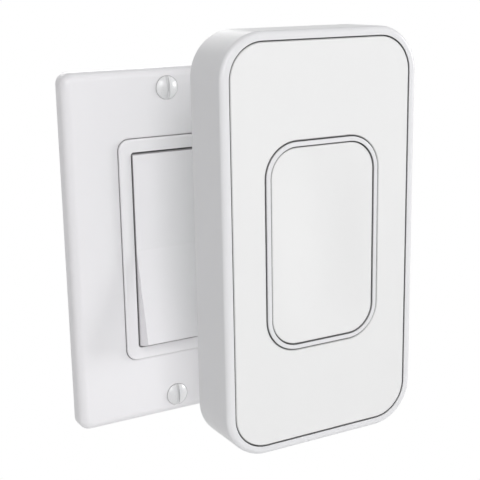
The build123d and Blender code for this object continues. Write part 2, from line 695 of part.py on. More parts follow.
# Terminal screws in the side notch, and the ground screw on the strap
for name, z in (("line_screw", TERMINAL_Z), ("load_screw", -TERMINAL_Z)):
    with BuildPart() as terminal_screw:
        with BuildSketch(side_on(TONGUE_X + TERMINAL_T, TERMINAL_Y, z)):
            Circle(TERMINAL_HEAD_R)
        extrude(amount=TERMINAL_HEAD_T)
        chamfer(terminal_screw.faces().sort_by(Axis.X)[-1].edges(), 0.4)
        with BuildSketch(side_on(TONGUE_X + TERMINAL_T, TERMINAL_Y, z)):
            Circle(TERMINAL_SHANK_R)
        extrude(amount=-TERMINAL_T - TERMINAL_SHANK_L)
        with Locations((TONGUE_X + TERMINAL_T + TERMINAL_HEAD_T, TERMINAL_Y, z)):
            Box(1.8, 3 * TERMINAL_HEAD_R, SCREW_SLOT, mode=Mode.SUBTRACT)
    finish(terminal_screw, name)

with BuildPart() as ground_screw:
    with BuildSketch(facing_room(-STRAP_T, GROUND_X, -BOX_SCREW_Z)):
        RegularPolygon(GROUND_R, 6)
    extrude(amount=BOX_HEAD_T)
    with Locations((GROUND_X, -STRAP_T - BOX_HEAD_T, -BOX_SCREW_Z)):
        Box(SCREW_SLOT, 1.4, 9.0, mode=Mode.SUBTRACT)
finish(ground_screw, "ground_screw")


# Cover shell: a deep rounded ring with a ledge for the front panel and four screw bosses
with BuildPart() as cover_shell:
    with BuildSketch(in_cover(0)):
        RectangleRounded(COVER_W, COVER_H, COVER_R)
    extrude(amount=COVER_T)
    fillet(cover_shell.faces().sort_by(Axis.Y)[0].edges(), COVER_EDGE)
    with BuildSketch(in_cover(PANEL_BACK)):
        RectangleRounded(COVER_W - 2 * RIM_W, COVER_H - 2 * RIM_W, COVER_R - RIM_W)
    extrude(amount=PANEL_T, mode=Mode.SUBTRACT)
    with BuildSketch(in_cover(0)):
        RectangleRounded(
            COVER_W - 2 * (RIM_W + LEDGE_W), COVER_H - 2 * (RIM_W + LEDGE_W), COVER_R - RIM_W - LEDGE_W
        )
    extrude(amount=PANEL_BACK, mode=Mode.SUBTRACT)
    with BuildSketch(in_cover(0)):
        RectangleRounded(COVER_W - 2 * COVER_WALL, COVER_H - 2 * COVER_WALL, COVER_R - COVER_WALL)
    extrude(amount=PANEL_BACK - LEDGE_W, mode=Mode.SUBTRACT)
    with BuildSketch(in_cover(BACK_T)):
        with GridLocations(2 * CASE_SCREW_X, 2 * CASE_SCREW_Z, 2, 2):
            Circle(CASE_BOSS_R)
    extrude(amount=PANEL_BACK - BACK_T)
    with BuildSketch(in_cover(BACK_T)):
        with GridLocations(2 * CASE_SCREW_X, 2 * CASE_SCREW_Z, 2, 2):
            Circle(CASE_SHANK_R + THREAD_CLEAR)
    extrude(amount=CASE_SCREW_L + 0.5, mode=Mode.SUBTRACT)
finish(cover_shell, "cover_shell")

with BuildPart() as front_panel:
    with BuildSketch(in_cover(PANEL_BACK)):
        RectangleRounded(PANEL_W, PANEL_H, PANEL_R)
        RectangleRounded(
            2 * (RING_HALF_W + RING_GAP), 2 * (RING_HALF_H + RING_GAP), RING_R + RING_GAP, mode=Mode.SUBTRACT
        )
    extrude(amount=PANEL_T)
    chamfer(front_panel.faces().sort_by(Axis.Y)[0].edges(), PANEL_EDGE)
finish(front_panel, "front_panel")

with BuildPart() as button_ring:
    with BuildSketch(in_cover(RING_BACK)):
        RectangleRounded(
            2 * (RING_HALF_W + RING_FLANGE), 2 * (RING_HALF_H + RING_FLANGE), RING_R + RING_FLANGE
        )
    extrude(amount=RING_FLANGE_T)
    with BuildSketch(in_cover(RING_BACK)):
        RectangleRounded(2 * RING_HALF_W, 2 * RING_HALF_H, RING_R)
    extrude(amount=COVER_T + RING_PROUD - RING_BACK)
    fillet(button_ring.faces().sort_by(Axis.Y)[0].edges(), RING_EDGE)
    with BuildSketch(in_cover(RING_BACK)):
        RectangleRounded(BUTTON_W + 2 * RING_GAP, BUTTON_H + 2 * RING_GAP, BUTTON_R + RING_GAP)
    extrude(amount=COVER_T + RING_PROUD - RING_BACK, mode=Mode.SUBTRACT)
    with BuildSketch(in_cover(RING_BACK)):
        RectangleRounded(
            BUTTON_W + 2 * (BUTTON_FLANGE + 0.35), BUTTON_H + 2 * (BUTTON_FLANGE + 0.35), BUTTON_R + BUTTON_FLANGE + 0.35
        )
    extrude(amount=BUTTON_BACK + FIT_GAP - RING_BACK, mode=Mode.SUBTRACT)
finish(button_ring, "button_ring")

with BuildPart() as push_button:
    flange_back = BUTTON_BACK - BUTTON_FLANGE_T
    with BuildSketch(in_cover(flange_back)):
        RectangleRounded(
            BUTTON_W + 2 * BUTTON_FLANGE, BUTTON_H + 2 * BUTTON_FLANGE, BUTTON_R + BUTTON_FLANGE
        )
    extrude(amount=BUTTON_FLANGE_T)
    with BuildSketch(in_cover(BUTTON_BACK)):
        RectangleRounded(BUTTON_W, BUTTON_H, BUTTON_R)
    extrude(amount=BUTTON_FACE_T)
    fillet(push_button.faces().sort_by(Axis.Y)[0].edges(), BUTTON_EDGE)
    # dish: a shallow ball, stretched to the button's height, pressed into the face
    dish_half = BUTTON_W / 2 - BUTTON_RIM
    dish_r = (dish_half**2 + BUTTON_DISH**2) / (2 * BUTTON_DISH)
    dish_z = dish_r * (BUTTON_H / 2 - BUTTON_RIM) / dish_half
    dish_centre = cover_point(0, COVER_T - BUTTON_DISH + dish_r, 0)
    with BuildSketch(Plane(origin=dish_centre, x_dir=(1, 0, 0), z_dir=(0, -1, 0))):
        Ellipse(dish_r, dish_z)
        with Locations((-dish_r, 0)):
            Rectangle(2 * dish_r, 3 * dish_z, mode=Mode.SUBTRACT)
    revolve(axis=Axis(dish_centre, (0, 0, 1)), mode=Mode.SUBTRACT)
    stem_end = BOARD_LEVEL + BOARD_T + TACT_BODY_T + TACT_CAP_T + BUTTON_TRAVEL + STEM_GAP
    with BuildSketch(in_cover(stem_end)):
        Circle(STEM_R)
    extrude(amount=flange_back - stem_end)
finish(push_button, "push_button")


# Back plate: recess for the rocker, cups over the plate screws, posts for the board, bay for the cells
def back_outline(gap):
    """Outline of the back plate inside the shell wall."""
    RectangleRounded(
        COVER_W - 2 * (COVER_WALL + gap), COVER_H - 2 * (COVER_WALL + gap), COVER_R - COVER_WALL - gap
    )


with BuildPart() as back_plate:
    with BuildSketch(in_cover(0)):
        back_outline(FIT_GAP)
        RectangleRounded(RECESS_W, RECESS_H, RECESS_R, mode=Mode.SUBTRACT)
        with Locations((DOOR_RIGHT - COVER_W / 4, 0)):
            Rectangle(COVER_W / 2, 2 * DOOR_HALF_H, mode=Mode.SUBTRACT)
        with Locations((0, PLATE_SCREW_Z), (0, -PLATE_SCREW_Z)):
            Circle(MAGNET_R + 0.1, mode=Mode.SUBTRACT)
    extrude(amount=BACK_T)
    # upright rib between the recess and the cells
    with BuildSketch(in_cover(0, -RECESS_W / 2 - RIB_T / 2)):
        Rectangle(RIB_T, 2 * DOOR_HALF_H)
    extrude(amount=BOARD_LEVEL - 0.3)
    # cups for the magnets and posts for the board
    with BuildSketch(in_cover(0)):
        with Locations((0, PLATE_SCREW_Z), (0, -PLATE_SCREW_Z)):
            Circle(MAGNET_R + MAGNET_WALL)
    extrude(amount=MAGNET_LEVEL + MAGNET_T + MAGNET_WALL)
    with BuildSketch(in_cover(0)):
        with Locations((0, PLATE_SCREW_Z), (0, -PLATE_SCREW_Z)):
            Circle(MAGNET_R + THREAD_CLEAR)
    extrude(amount=MAGNET_LEVEL + MAGNET_T, mode=Mode.SUBTRACT)
    with BuildSketch(in_cover(BACK_T)):
        with GridLocations(2 * BOARD_POST_X, 2 * BOARD_POST_Z, 2, 2):
            Circle(BOARD_POST_R)
    extrude(amount=BOARD_LEVEL - BACK_T)
    # end walls of the cell bay
    bay_left = CELL_X - CELL_R + 3 * BAY_END_T
    for side in (1, -1):
        with BuildSketch(in_cover(0, (DOOR_RIGHT + bay_left) / 2, side * (DOOR_HALF_H + BAY_END_T / 2))):
            Rectangle(DOOR_RIGHT - bay_left, BAY_END_T)
        extrude(amount=BOARD_LEVEL)
    with BuildSketch(in_cover(0)):
        with GridLocations(2 * CASE_SCREW_X, 2 * CASE_SCREW_Z, 2, 2):
            Circle(CASE_SHANK_R + SCREW_CLEAR)
    extrude(amount=BACK_T, mode=Mode.SUBTRACT)
    with BuildSketch(in_cover(0)):
        with GridLocations(2 * CASE_SCREW_X, 2 * CASE_SCREW_Z, 2, 2):
            Circle(CASE_HEAD_R + SCREW_CLEAR)
    extrude(amount=CASE_HEAD_T, mode=Mode.SUBTRACT)
finish(back_plate, "back_plate")

for place, side in (("upper", 1), ("lower", -1)):
    with BuildPart() as magnet:
        with BuildSketch(in_cover(MAGNET_LEVEL, 0, side * PLATE_SCREW_Z)):
            Circle(MAGNET_R)
        extrude(amount=MAGNET_T)
        chamfer(magnet.edges(), 0.2)
    finish(magnet, f"magnet_{place}")

for place, x_side, z_side in (("ul", -1, 1), ("ur", 1, 1), ("ll", -1, -1), ("lr", 1, -1)):
    with BuildPart() as case_screw:
        screw_x, screw_z = x_side * CASE_SCREW_X, z_side * CASE_SCREW_Z
        with BuildSketch(in_cover(CASE_SINK, screw_x, screw_z)):
            Circle(CASE_HEAD_R)
        extrude(amount=CASE_HEAD_T - CASE_SINK)
        with BuildSketch(in_cover(CASE_SINK, screw_x, screw_z)):
            Circle(CASE_SHANK_R)
        extrude(amount=CASE_SCREW_L)
        with Locations(cover_point(screw_x, CASE_SINK, screw_z)):
            Box(0.5, 1.0, 2.4, mode=Mode.SUBTRACT)
            Box(2.4, 1.0, 0.5, mode=Mode.SUBTRACT)
    finish(case_screw, f"case_screw_{place}")

for place, side in (("upper", 1), ("lower", -1)):
    with BuildPart() as grip_pad:
        with BuildSketch(in_cover(-PAD_T, 0, side * PAD_Z)):
            SlotOverall(PAD_L, PAD_W)
        extrude(amount=PAD_T)
    finish(grip_pad, f"grip_pad_{place}")

with BuildPart() as battery_door:
    with BuildSketch(in_cover(0)):
        back_outline(FIT_GAP + 0.1)
        with Locations((DOOR_RIGHT - DOOR_GAP - COVER_W / 4, 0)):
            Rectangle(COVER_W / 2, 2 * (DOOR_HALF_H - DOOR_GAP), mode=Mode.INTERSECT)
    extrude(amount=BACK_T - CELL_CLEAR)
    for groove in range(DOOR_GRIPS):
        with Locations(cover_point(CELL_X, 0, 2 * CELL_R - DOOR_HALF_H + GRIP_PITCH * groove)):
            Box(CELL_R, 0.6, GRIP_PITCH / 2, mode=Mode.SUBTRACT)
finish(battery_door, "battery_door")


# Cells, in one line, and their contacts
CELL_LEVEL = BACK_T + CELL_CLEAR + CELL_R
for place, middle in (("upper", CELL_L / 2 + BAY_SHIFT), ("lower", BAY_SHIFT - CELL_L / 2)):
    with BuildPart() as cell:
        with BuildSketch(cover_upright(CELL_X, CELL_LEVEL, middle - CELL_L / 2)):
            Circle(CELL_R)
        extrude(amount=CELL_L - CELL_TIP_L)
        chamfer(cell.edges(), 0.4)
        with BuildSketch(cover_upright(CELL_X, CELL_LEVEL, middle + CELL_L / 2 - CELL_TIP_L)):
            Circle(CELL_TIP_R)
        extrude(amount=CELL_TIP_L)
    finish(cell, f"cell_{place}")

for name, z in (("contact_leaf_upper", DOOR_HALF_H - LEAF_T), ("contact_leaf_lower", -DOOR_HALF_H)):
    with BuildPart() as contact_leaf:
        with BuildSketch(cover_upright(CELL_X, CELL_LEVEL, z)):
            RectangleRounded(LEAF_W, LEAF_H, 2 * LEAF_T)
        extrude(amount=LEAF_T)
        spring_end = BAY_SHIFT + (CELL_L if z > 0 else -CELL_L)
        reach = abs(z + (0 if z > 0 else LEAF_T) - spring_end) - 0.03
        base_z = z if z > 0 else z + LEAF_T
        with BuildSketch(cover_upright(CELL_X, CELL_LEVEL, base_z)):
            Circle(LEAF_COIL_R)
        extrude(amount=-reach if z > 0 else reach, taper=14)
    finish(contact_leaf, name)


# Circuit board with its radio module and the press switch behind the button
with BuildPart() as circuit_board:
    with BuildSketch(in_cover(BOARD_LEVEL)):
        RectangleRounded(BOARD_W, BOARD_H, 2.0)
        with GridLocations(2 * BOARD_POST_X, 2 * BOARD_POST_Z, 2, 2):
            Circle(BOARD_SCREW_R, mode=Mode.SUBTRACT)
    extrude(amount=BOARD_T)
finish(circuit_board, "circuit_board")

with BuildPart() as tact_switch:
    with BuildSketch(in_cover(BOARD_LEVEL + BOARD_T)):
        RectangleRounded(TACT_SIDE, TACT_SIDE, 0.5)
    extrude(amount=TACT_BODY_T)
    with BuildSketch(in_cover(BOARD_LEVEL + BOARD_T + TACT_BODY_T)):
        Circle(TACT_CAP_R)
    extrude(amount=TACT_CAP_T)
finish(tact_switch, "tact_switch")

with BuildPart() as radio_module:
    with BuildSketch(in_cover(BOARD_LEVEL + BOARD_T, 0, MODULE_Z)):
        RectangleRounded(MODULE_W, MODULE_H, 0.6)
    extrude(amount=MODULE_T)
    fillet(radio_module.faces().sort_by(Axis.Y)[0].edges(), 0.3)
finish(radio_module, "radio_module")


# Drive: lead screw and guide rod in two holders, gear pair and motor
with BuildPart() as lead_screw:
    screw_span = DRIVE_HIGH - DRIVE_LOW - 2 * HOLDER_T - 2 * RUN_CLEAR - 0.2
    with BuildSketch(cover_upright(SCREW_X, SCREW_LEVEL, DRIVE_LOW + HOLDER_T + RUN_CLEAR + 0.1)):
        Circle(SCREW_R)
    extrude(amount=screw_span)
    with BuildSketch(cover_upright(SCREW_X, SCREW_LEVEL, DRIVE_LOW + 0.2)):
        Circle(JOURNAL_R)
    extrude(amount=GEAR_Z + GEAR_T + 0.4 - DRIVE_LOW - 0.2)
finish(lead_screw, "lead_screw")

with BuildPart() as screw_gear:
    with BuildSketch(cover_upright(SCREW_X, SCREW_LEVEL, GEAR_Z)):
        with BuildLine():
            Polyline(*gear_outline(GEAR_TEETH, GEAR_BACKLASH, GEAR_ANGLE), close=True)
        make_face()
        Circle(JOURNAL_R, mode=Mode.SUBTRACT)
    extrude(amount=GEAR_T)
    with BuildSketch(cover_upright(SCREW_X, SCREW_LEVEL, GEAR_Z)):
        Circle(JOURNAL_R + GEAR_HUB_WALL)
        Circle(JOURNAL_R, mode=Mode.SUBTRACT)
    extrude(amount=-GEAR_HUB_T)
finish(screw_gear, "screw_gear")

with BuildPart() as motor_pinion:
    pinion_turn = GEAR_ANGLE + 180 + 180 / PINION_TEETH
    with BuildSketch(cover_upright(MOTOR_X, MOTOR_LEVEL, GEAR_Z + 0.1)):
        with BuildLine():
            Polyline(*gear_outline(PINION_TEETH, GEAR_BACKLASH, pinion_turn), close=True)
        make_face()
    extrude(amount=GEAR_T)
    with BuildSketch(cover_upright(MOTOR_X, MOTOR_LEVEL, GEAR_Z + 0.1)):
        Circle(MOTOR_SHAFT_R)
    extrude(amount=GEAR_T + GEAR_HUB_T)
finish(motor_pinion, "motor_pinion")

with BuildPart() as drive_motor:
    motor_z = GEAR_Z + GEAR_T + MOTOR_CLEAR
    with BuildSketch(cover_upright(MOTOR_X, MOTOR_LEVEL, motor_z)):
        Circle(MOTOR_R)
        with Locations((0, 0)):
            Circle(MOTOR_SHAFT_R + RUN_CLEAR, mode=Mode.SUBTRACT)
    extrude(amount=MOTOR_L)
    with BuildSketch(cover_upright(MOTOR_X, MOTOR_LEVEL, motor_z + 1.0)):
        Circle(MOTOR_SHAFT_R + RUN_CLEAR)
    extrude(amount=MOTOR_L - 1.0)
    with BuildSketch(cover_upright(MOTOR_X, MOTOR_LEVEL, motor_z)):
        Circle(MOTOR_NOSE_R)
        Circle(MOTOR_SHAFT_R + RUN_CLEAR, mode=Mode.SUBTRACT)
    extrude(amount=-MOTOR_NOSE_T)
finish(drive_motor, "drive_motor")

with BuildPart() as motor_bracket:
    with BuildSketch(cover_upright(MOTOR_X, 0, motor_z + 2.0)):
        with Locations((0, -(BACK_T + MOTOR_LEVEL) / 2)):
            Rectangle(2 * (MOTOR_R + MOTOR_BRACKET_WALL), MOTOR_LEVEL - BACK_T)
        with Locations((0, -MOTOR_LEVEL)):
            Circle(MOTOR_R + RUN_CLEAR, mode=Mode.SUBTRACT)
    extrude(amount=MOTOR_BRACKET_T)
finish(motor_bracket, "motor_bracket")

for place, low in (("lower", DRIVE_LOW), ("upper", DRIVE_HIGH - HOLDER_T)):
    with BuildPart() as rod_holder:
        with BuildSketch(cover_upright(SCREW_X, 0, low)):
            with Locations((0, -(BACK_T + ROD_LEVEL + ROD_R + HOLDER_WALL) / 2)):
                RectangleRounded(HOLDER_W, ROD_LEVEL + ROD_R + HOLDER_WALL - BACK_T, 0.8)
            with Locations((0, -SCREW_LEVEL)):
                Circle(JOURNAL_R + RUN_CLEAR, mode=Mode.SUBTRACT)
            with Locations((0, -ROD_LEVEL)):
                Circle(ROD_R, mode=Mode.SUBTRACT)
        extrude(amount=HOLDER_T)
    finish(rod_holder, f"rod_holder_{place}")

with BuildPart() as guide_rod:
    with BuildSketch(cover_upright(SCREW_X, ROD_LEVEL, DRIVE_LOW)):
        Circle(ROD_R)
    extrude(amount=DRIVE_HIGH - DRIVE_LOW)
finish(guide_rod, "guide_rod")


# Carriage: slide block on screw and rod, with an arm across the recess and a fork for the roller
with BuildPart() as carriage:
    block_front = ROD_LEVEL + ROD_R + CARRIAGE_WALL
    with BuildSketch(in_cover(CARRIAGE_BACK, SCREW_X, CARRIAGE_REST_Z)):
        RectangleRounded(CARRIAGE_W, CARRIAGE_H, 1.0)
    extrude(amount=block_front - CARRIAGE_BACK)
    with BuildSketch(in_cover(REACH_BACK, 0, CARRIAGE_REST_Z)):
        with Locations(((SCREW_X - ROLLER_W / 2 - FORK_T - REACH_OVER) / 2, 0)):
            Rectangle(SCREW_X + ROLLER_W / 2 + FORK_T + REACH_OVER, REACH_H)
    extrude(amount=REACH_T)
    for side in (1, -1):
        fork_x = side * (ROLLER_W / 2 + ROLLER_GAP)
        with BuildSketch(side_on(HELD_X + fork_x, BACK_Y - ROLLER_LEVEL, HELD_Z + CARRIAGE_REST_Z)):
            Circle(ROLLER_PIN_R + FORK_WALL)
            with Locations((-(REACH_BACK + 0.5 - ROLLER_LEVEL) / 2, 0)):
                Rectangle(REACH_BACK + 0.5 - ROLLER_LEVEL, 2 * (ROLLER_PIN_R + FORK_WALL))
            Circle(ROLLER_PIN_R, mode=Mode.SUBTRACT)
        extrude(amount=side * FORK_T)
    with BuildSketch(cover_upright(SCREW_X, SCREW_LEVEL, CARRIAGE_REST_Z - CARRIAGE_H / 2)):
        Circle(NUT_R)
        with Locations((0, SCREW_LEVEL - ROD_LEVEL)):
            Circle(ROD_R + RUN_CLEAR)
    extrude(amount=CARRIAGE_H, mode=Mode.SUBTRACT)
finish(carriage, "carriage")

with BuildPart() as carriage_nut:
    with BuildSketch(cover_upright(SCREW_X, SCREW_LEVEL, CARRIAGE_REST_Z - CARRIAGE_H / 2)):
        Circle(NUT_R)
        Circle(SCREW_R + RUN_CLEAR, mode=Mode.SUBTRACT)
    extrude(amount=CARRIAGE_H)
finish(carriage_nut, "carriage_nut")

pin_half = ROLLER_W / 2 + ROLLER_GAP + FORK_T
with BuildPart() as roller_pin:
    with BuildSketch(side_on(HELD_X - pin_half, BACK_Y - ROLLER_LEVEL, HELD_Z + CARRIAGE_REST_Z)):
        Circle(ROLLER_PIN_R)
    extrude(amount=2 * pin_half)
finish(roller_pin, "roller_pin")

with BuildPart() as nose_roller:
    with BuildSketch(side_on(HELD_X - ROLLER_W / 2, BACK_Y - ROLLER_LEVEL, HELD_Z + CARRIAGE_REST_Z)):
        Circle(ROLLER_R)
        Circle(ROLLER_PIN_R + RUN_CLEAR, mode=Mode.SUBTRACT)
    extrude(amount=ROLLER_W)
    chamfer(nose_roller.edges().filter_by(lambda edge: edge.length > 4 * ROLLER_R), 0.4)
finish(nose_roller, "nose_roller")
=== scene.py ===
import json
import math

import bmesh
import bpy
import numpy as np
from mathutils import Matrix, Vector


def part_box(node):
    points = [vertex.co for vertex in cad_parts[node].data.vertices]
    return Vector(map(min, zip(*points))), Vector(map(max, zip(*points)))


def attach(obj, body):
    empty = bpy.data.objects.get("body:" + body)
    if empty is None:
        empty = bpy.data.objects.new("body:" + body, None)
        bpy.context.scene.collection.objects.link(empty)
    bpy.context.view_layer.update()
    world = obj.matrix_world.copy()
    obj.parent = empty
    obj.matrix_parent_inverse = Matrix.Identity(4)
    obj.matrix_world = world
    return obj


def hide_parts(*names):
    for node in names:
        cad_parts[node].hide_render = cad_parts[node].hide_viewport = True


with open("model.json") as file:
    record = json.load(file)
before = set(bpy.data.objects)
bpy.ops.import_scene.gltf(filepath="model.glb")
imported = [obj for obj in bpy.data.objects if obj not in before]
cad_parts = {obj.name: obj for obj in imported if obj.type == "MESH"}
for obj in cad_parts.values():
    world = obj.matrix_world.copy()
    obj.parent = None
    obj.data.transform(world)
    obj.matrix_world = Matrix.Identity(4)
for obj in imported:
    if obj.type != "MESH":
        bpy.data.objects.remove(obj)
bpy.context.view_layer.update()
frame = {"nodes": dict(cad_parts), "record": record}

MM = 0.001


# Measures read from the frame

def low(node):
    """Lowest corner of a CAD node, in millimetres."""
    return np.array(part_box(node)[0]) / MM


def high(node):
    """Highest corner of a CAD node, in millimetres."""
    return np.array(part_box(node)[1]) / MM


def middle(node):
    """Centre of a CAD node's box, in millimetres."""
    return (low(node) + high(node)) / 2


# Node group tools

def new_group(name, inputs, outputs):
    """A shader node group with float inputs (name, default) and named outputs (name, socket type)."""
    group = bpy.data.node_groups.new(name, "ShaderNodeTree")
    for label, default in inputs:
        socket = group.interface.new_socket(name=label, in_out="INPUT", socket_type="NodeSocketFloat")
        socket.default_value = default
    for label, kind in outputs:
        group.interface.new_socket(name=label, in_out="OUTPUT", socket_type=kind)
    entry = group.nodes.new("NodeGroupInput")
    leave = group.nodes.new("NodeGroupOutput")
    return group, entry, leave


def math_node(tree, operation, first, second=None, clamp=False):
    """A Math node fed by sockets or numbers; returns its output."""
    node = tree.nodes.new("ShaderNodeMath")
    node.operation = operation
    node.use_clamp = clamp
    for slot, value in enumerate((first, second)):
        if value is None:
            continue
        if isinstance(value, (int, float)):
            node.inputs[slot].default_value = value
        else:
            tree.links.new(value, node.inputs[slot])
    return node.outputs[0]


def scaled_noise(tree, scale, detail=2.0, stretch=(1, 1, 1), roughness=0.5):
    """Noise on Object coordinates; scale is a number or a socket, in waves per metre."""
    where = tree.nodes.new("ShaderNodeTexCoord")
    mapping = tree.nodes.new("ShaderNodeMapping")
    mapping.inputs["Scale"].default_value = stretch
    noise = tree.nodes.new("ShaderNodeTexNoise")
    noise.inputs["Detail"].default_value = detail
    noise.inputs["Roughness"].default_value = roughness
    tree.links.new(where.outputs["Object"], mapping.inputs["Vector"])
    tree.links.new(mapping.outputs["Vector"], noise.inputs["Vector"])
    if isinstance(scale, (int, float)):
        noise.inputs["Scale"].default_value = scale
    else:
        tree.links.new(scale, noise.inputs["Scale"])
    return noise.outputs["Fac"]


def spread_roughness(group, entry, leave, pattern):
    """The group's roughness: its input, plus a pattern about its middle times the spread."""
    centred = math_node(group, "SUBTRACT", pattern, 0.5)
    spread = math_node(group, "MULTIPLY", centred, entry.outputs["Roughness Spread"])
    total = math_node(group, "ADD", spread, entry.outputs["Roughness"], clamp=True)
    group.links.new(total, leave.inputs["Roughness"])


# Reach and samples of the painted shade in narrow gaps
GAP_SHADE_REACH, GAP_SHADE_SAMPLES = 0.0009, 6
SINK_SCALE, FLOW_SCALE = 38.0, 55.0


def moulded_skin_group():
    """Skin of moulded plastic: flow mottling, spark-eroded grain, slow sink, and painted shade in narrow
    gaps, where occlusion darkens the colour.
    """
    group, entry, leave = new_group(
        "moulded_skin",
        [("Grain Scale", 2500.0), ("Grain Height", 0.25), ("Sink Height", 0.6), ("Mottle", 0.02),
         ("Roughness", 0.35), ("Roughness Spread", 0.06), ("Gap Shade", 0.85)],
        [("Shade", "NodeSocketFloat"), ("Roughness", "NodeSocketFloat"), ("Height", "NodeSocketFloat")],
    )
    grain = scaled_noise(group, entry.outputs["Grain Scale"], detail=3.0)
    sink = scaled_noise(group, SINK_SCALE, detail=1.0)
    flow = scaled_noise(group, FLOW_SCALE, detail=3.0, stretch=(1.0, 1.0, 0.35))
    centred = math_node(group, "SUBTRACT", flow, 0.5)
    shade = math_node(group, "MULTIPLY", centred, entry.outputs["Mottle"])
    # Painted shade: ambient occlusion within a short reach darkens the colour in narrow gaps and seams
    closeness = group.nodes.new("ShaderNodeAmbientOcclusion")
    closeness.samples = GAP_SHADE_SAMPLES
    closeness.inputs["Distance"].default_value = GAP_SHADE_REACH
    hidden = math_node(group, "SUBTRACT", 1.0, closeness.outputs["AO"])
    gap_shade = math_node(group, "MULTIPLY", hidden, entry.outputs["Gap Shade"])
    unshaded = math_node(group, "SUBTRACT", 1.0, gap_shade, clamp=True)
    shade = math_node(group, "MULTIPLY", math_node(group, "ADD", shade, 1.0), unshaded)
    group.links.new(shade, leave.inputs["Shade"])
    spread_roughness(group, entry, leave, grain)
    fine = math_node(group, "MULTIPLY", grain, entry.outputs["Grain Height"])
    slow = math_node(group, "MULTIPLY", sink, entry.outputs["Sink Height"])
    group.links.new(math_node(group, "ADD", fine, slow), leave.inputs["Height"])
    return group


def worked_metal_group():
    """Rolled or turned metal: long fine lines along Z, with dull patches where it was handled."""
    group, entry, leave = new_group(
        "worked_metal",
        [("Line Scale", 1500.0), ("Roughness", 0.3), ("Roughness Spread", 0.15), ("Tarnish", 0.15)],
        [("Shade", "NodeSocketFloat"), ("Roughness", "NodeSocketFloat"), ("Height", "NodeSocketFloat")],
    )
    lines = scaled_noise(group, entry.outputs["Line Scale"], detail=2.0, stretch=(1.0, 1.0, 0.06))
    patches = scaled_noise(group, 170.0, detail=4.0)
    centred = math_node(group, "SUBTRACT", patches, 0.5)
    dull = math_node(group, "MULTIPLY", centred, entry.outputs["Tarnish"])
    group.links.new(math_node(group, "SUBTRACT", 1.0, dull), leave.inputs["Shade"])
    part_lines = math_node(group, "MULTIPLY", lines, 0.6)
    part_patches = math_node(group, "MULTIPLY", patches, 0.4)
    spread_roughness(group, entry, leave, math_node(group, "ADD", part_lines, part_patches))
    group.links.new(lines, leave.inputs["Height"])
    return group


MOULDED_SKIN = moulded_skin_group()
WORKED_METAL = worked_metal_group()


def start_material(name):
    """A material with only its shader and output."""
    material = bpy.data.materials.new(name)
    material.use_nodes = True
    return material, material.node_tree, material.node_tree.nodes["Principled BSDF"]


def shaded_colour(tree, shader, colour, shade):
    """Base colour times a shade value near one."""
    mix = tree.nodes.new("ShaderNodeMix")
    mix.data_type = "RGBA"
    mix.blend_type = "MULTIPLY"
    mix.inputs["Factor"].default_value = 1.0
    mix.inputs[6].default_value = (*colour, 1.0)
    tree.links.new(shade, mix.inputs[7])
    tree.links.new(mix.outputs[2], shader.inputs["Base Color"])


def bumped(tree, shader, height, distance, strength=1.0):
    """Height into the shader's normal; distance in metres."""
    bump = tree.nodes.new("ShaderNodeBump")
    bump.inputs["Distance"].default_value = distance
    bump.inputs["Strength"].default_value = strength
    tree.links.new(height, bump.inputs["Height"])
    tree.links.new(bump.outputs["Normal"], shader.inputs["Normal"])


COAT_ROUGHNESS = 0.12


def plastic(name, colour, roughness, grain_scale=2500.0, grain_depth=2e-6, mottle=0.02, coat=0.0,
            specular=0.5, gap_shade=0.85):
    """Moulded plastic from the skin group, with painted shade in narrow gaps; depths in metres."""
    material, tree, shader = start_material(name)
    skin = tree.nodes.new("ShaderNodeGroup")
    skin.node_tree = MOULDED_SKIN
    skin.inputs["Grain Scale"].default_value = grain_scale
    skin.inputs["Roughness"].default_value = roughness
    skin.inputs["Mottle"].default_value = mottle
    # Painted shade in narrow gaps, its strength set for each finish
    skin.inputs["Gap Shade"].default_value = gap_shade
    shaded_colour(tree, shader, colour, skin.outputs["Shade"])
    tree.links.new(skin.outputs["Roughness"], shader.inputs["Roughness"])
    bumped(tree, shader, skin.outputs["Height"], grain_depth)
    shader.inputs["Coat Weight"].default_value = coat
    shader.inputs["Coat Roughness"].default_value = COAT_ROUGHNESS
    shader.inputs["Specular IOR Level"].default_value = specular
    return material


def metal(name, colour, roughness, line_scale=1500.0, depth=2e-6, tarnish=0.15, metallic=1.0):
    """Worked metal from the metal group."""
    material, tree, shader = start_material(name)
    work = tree.nodes.new("ShaderNodeGroup")
    work.node_tree = WORKED_METAL
    work.inputs["Line Scale"].default_value = line_scale
    work.inputs["Roughness"].default_value = roughness
    work.inputs["Tarnish"].default_value = tarnish
    shaded_colour(tree, shader, colour, work.outputs["Shade"])
    tree.links.new(work.outputs["Roughness"], shader.inputs["Roughness"])
    bumped(tree, shader, work.outputs["Height"], depth)
    shader.inputs["Metallic"].default_value = metallic
    return material


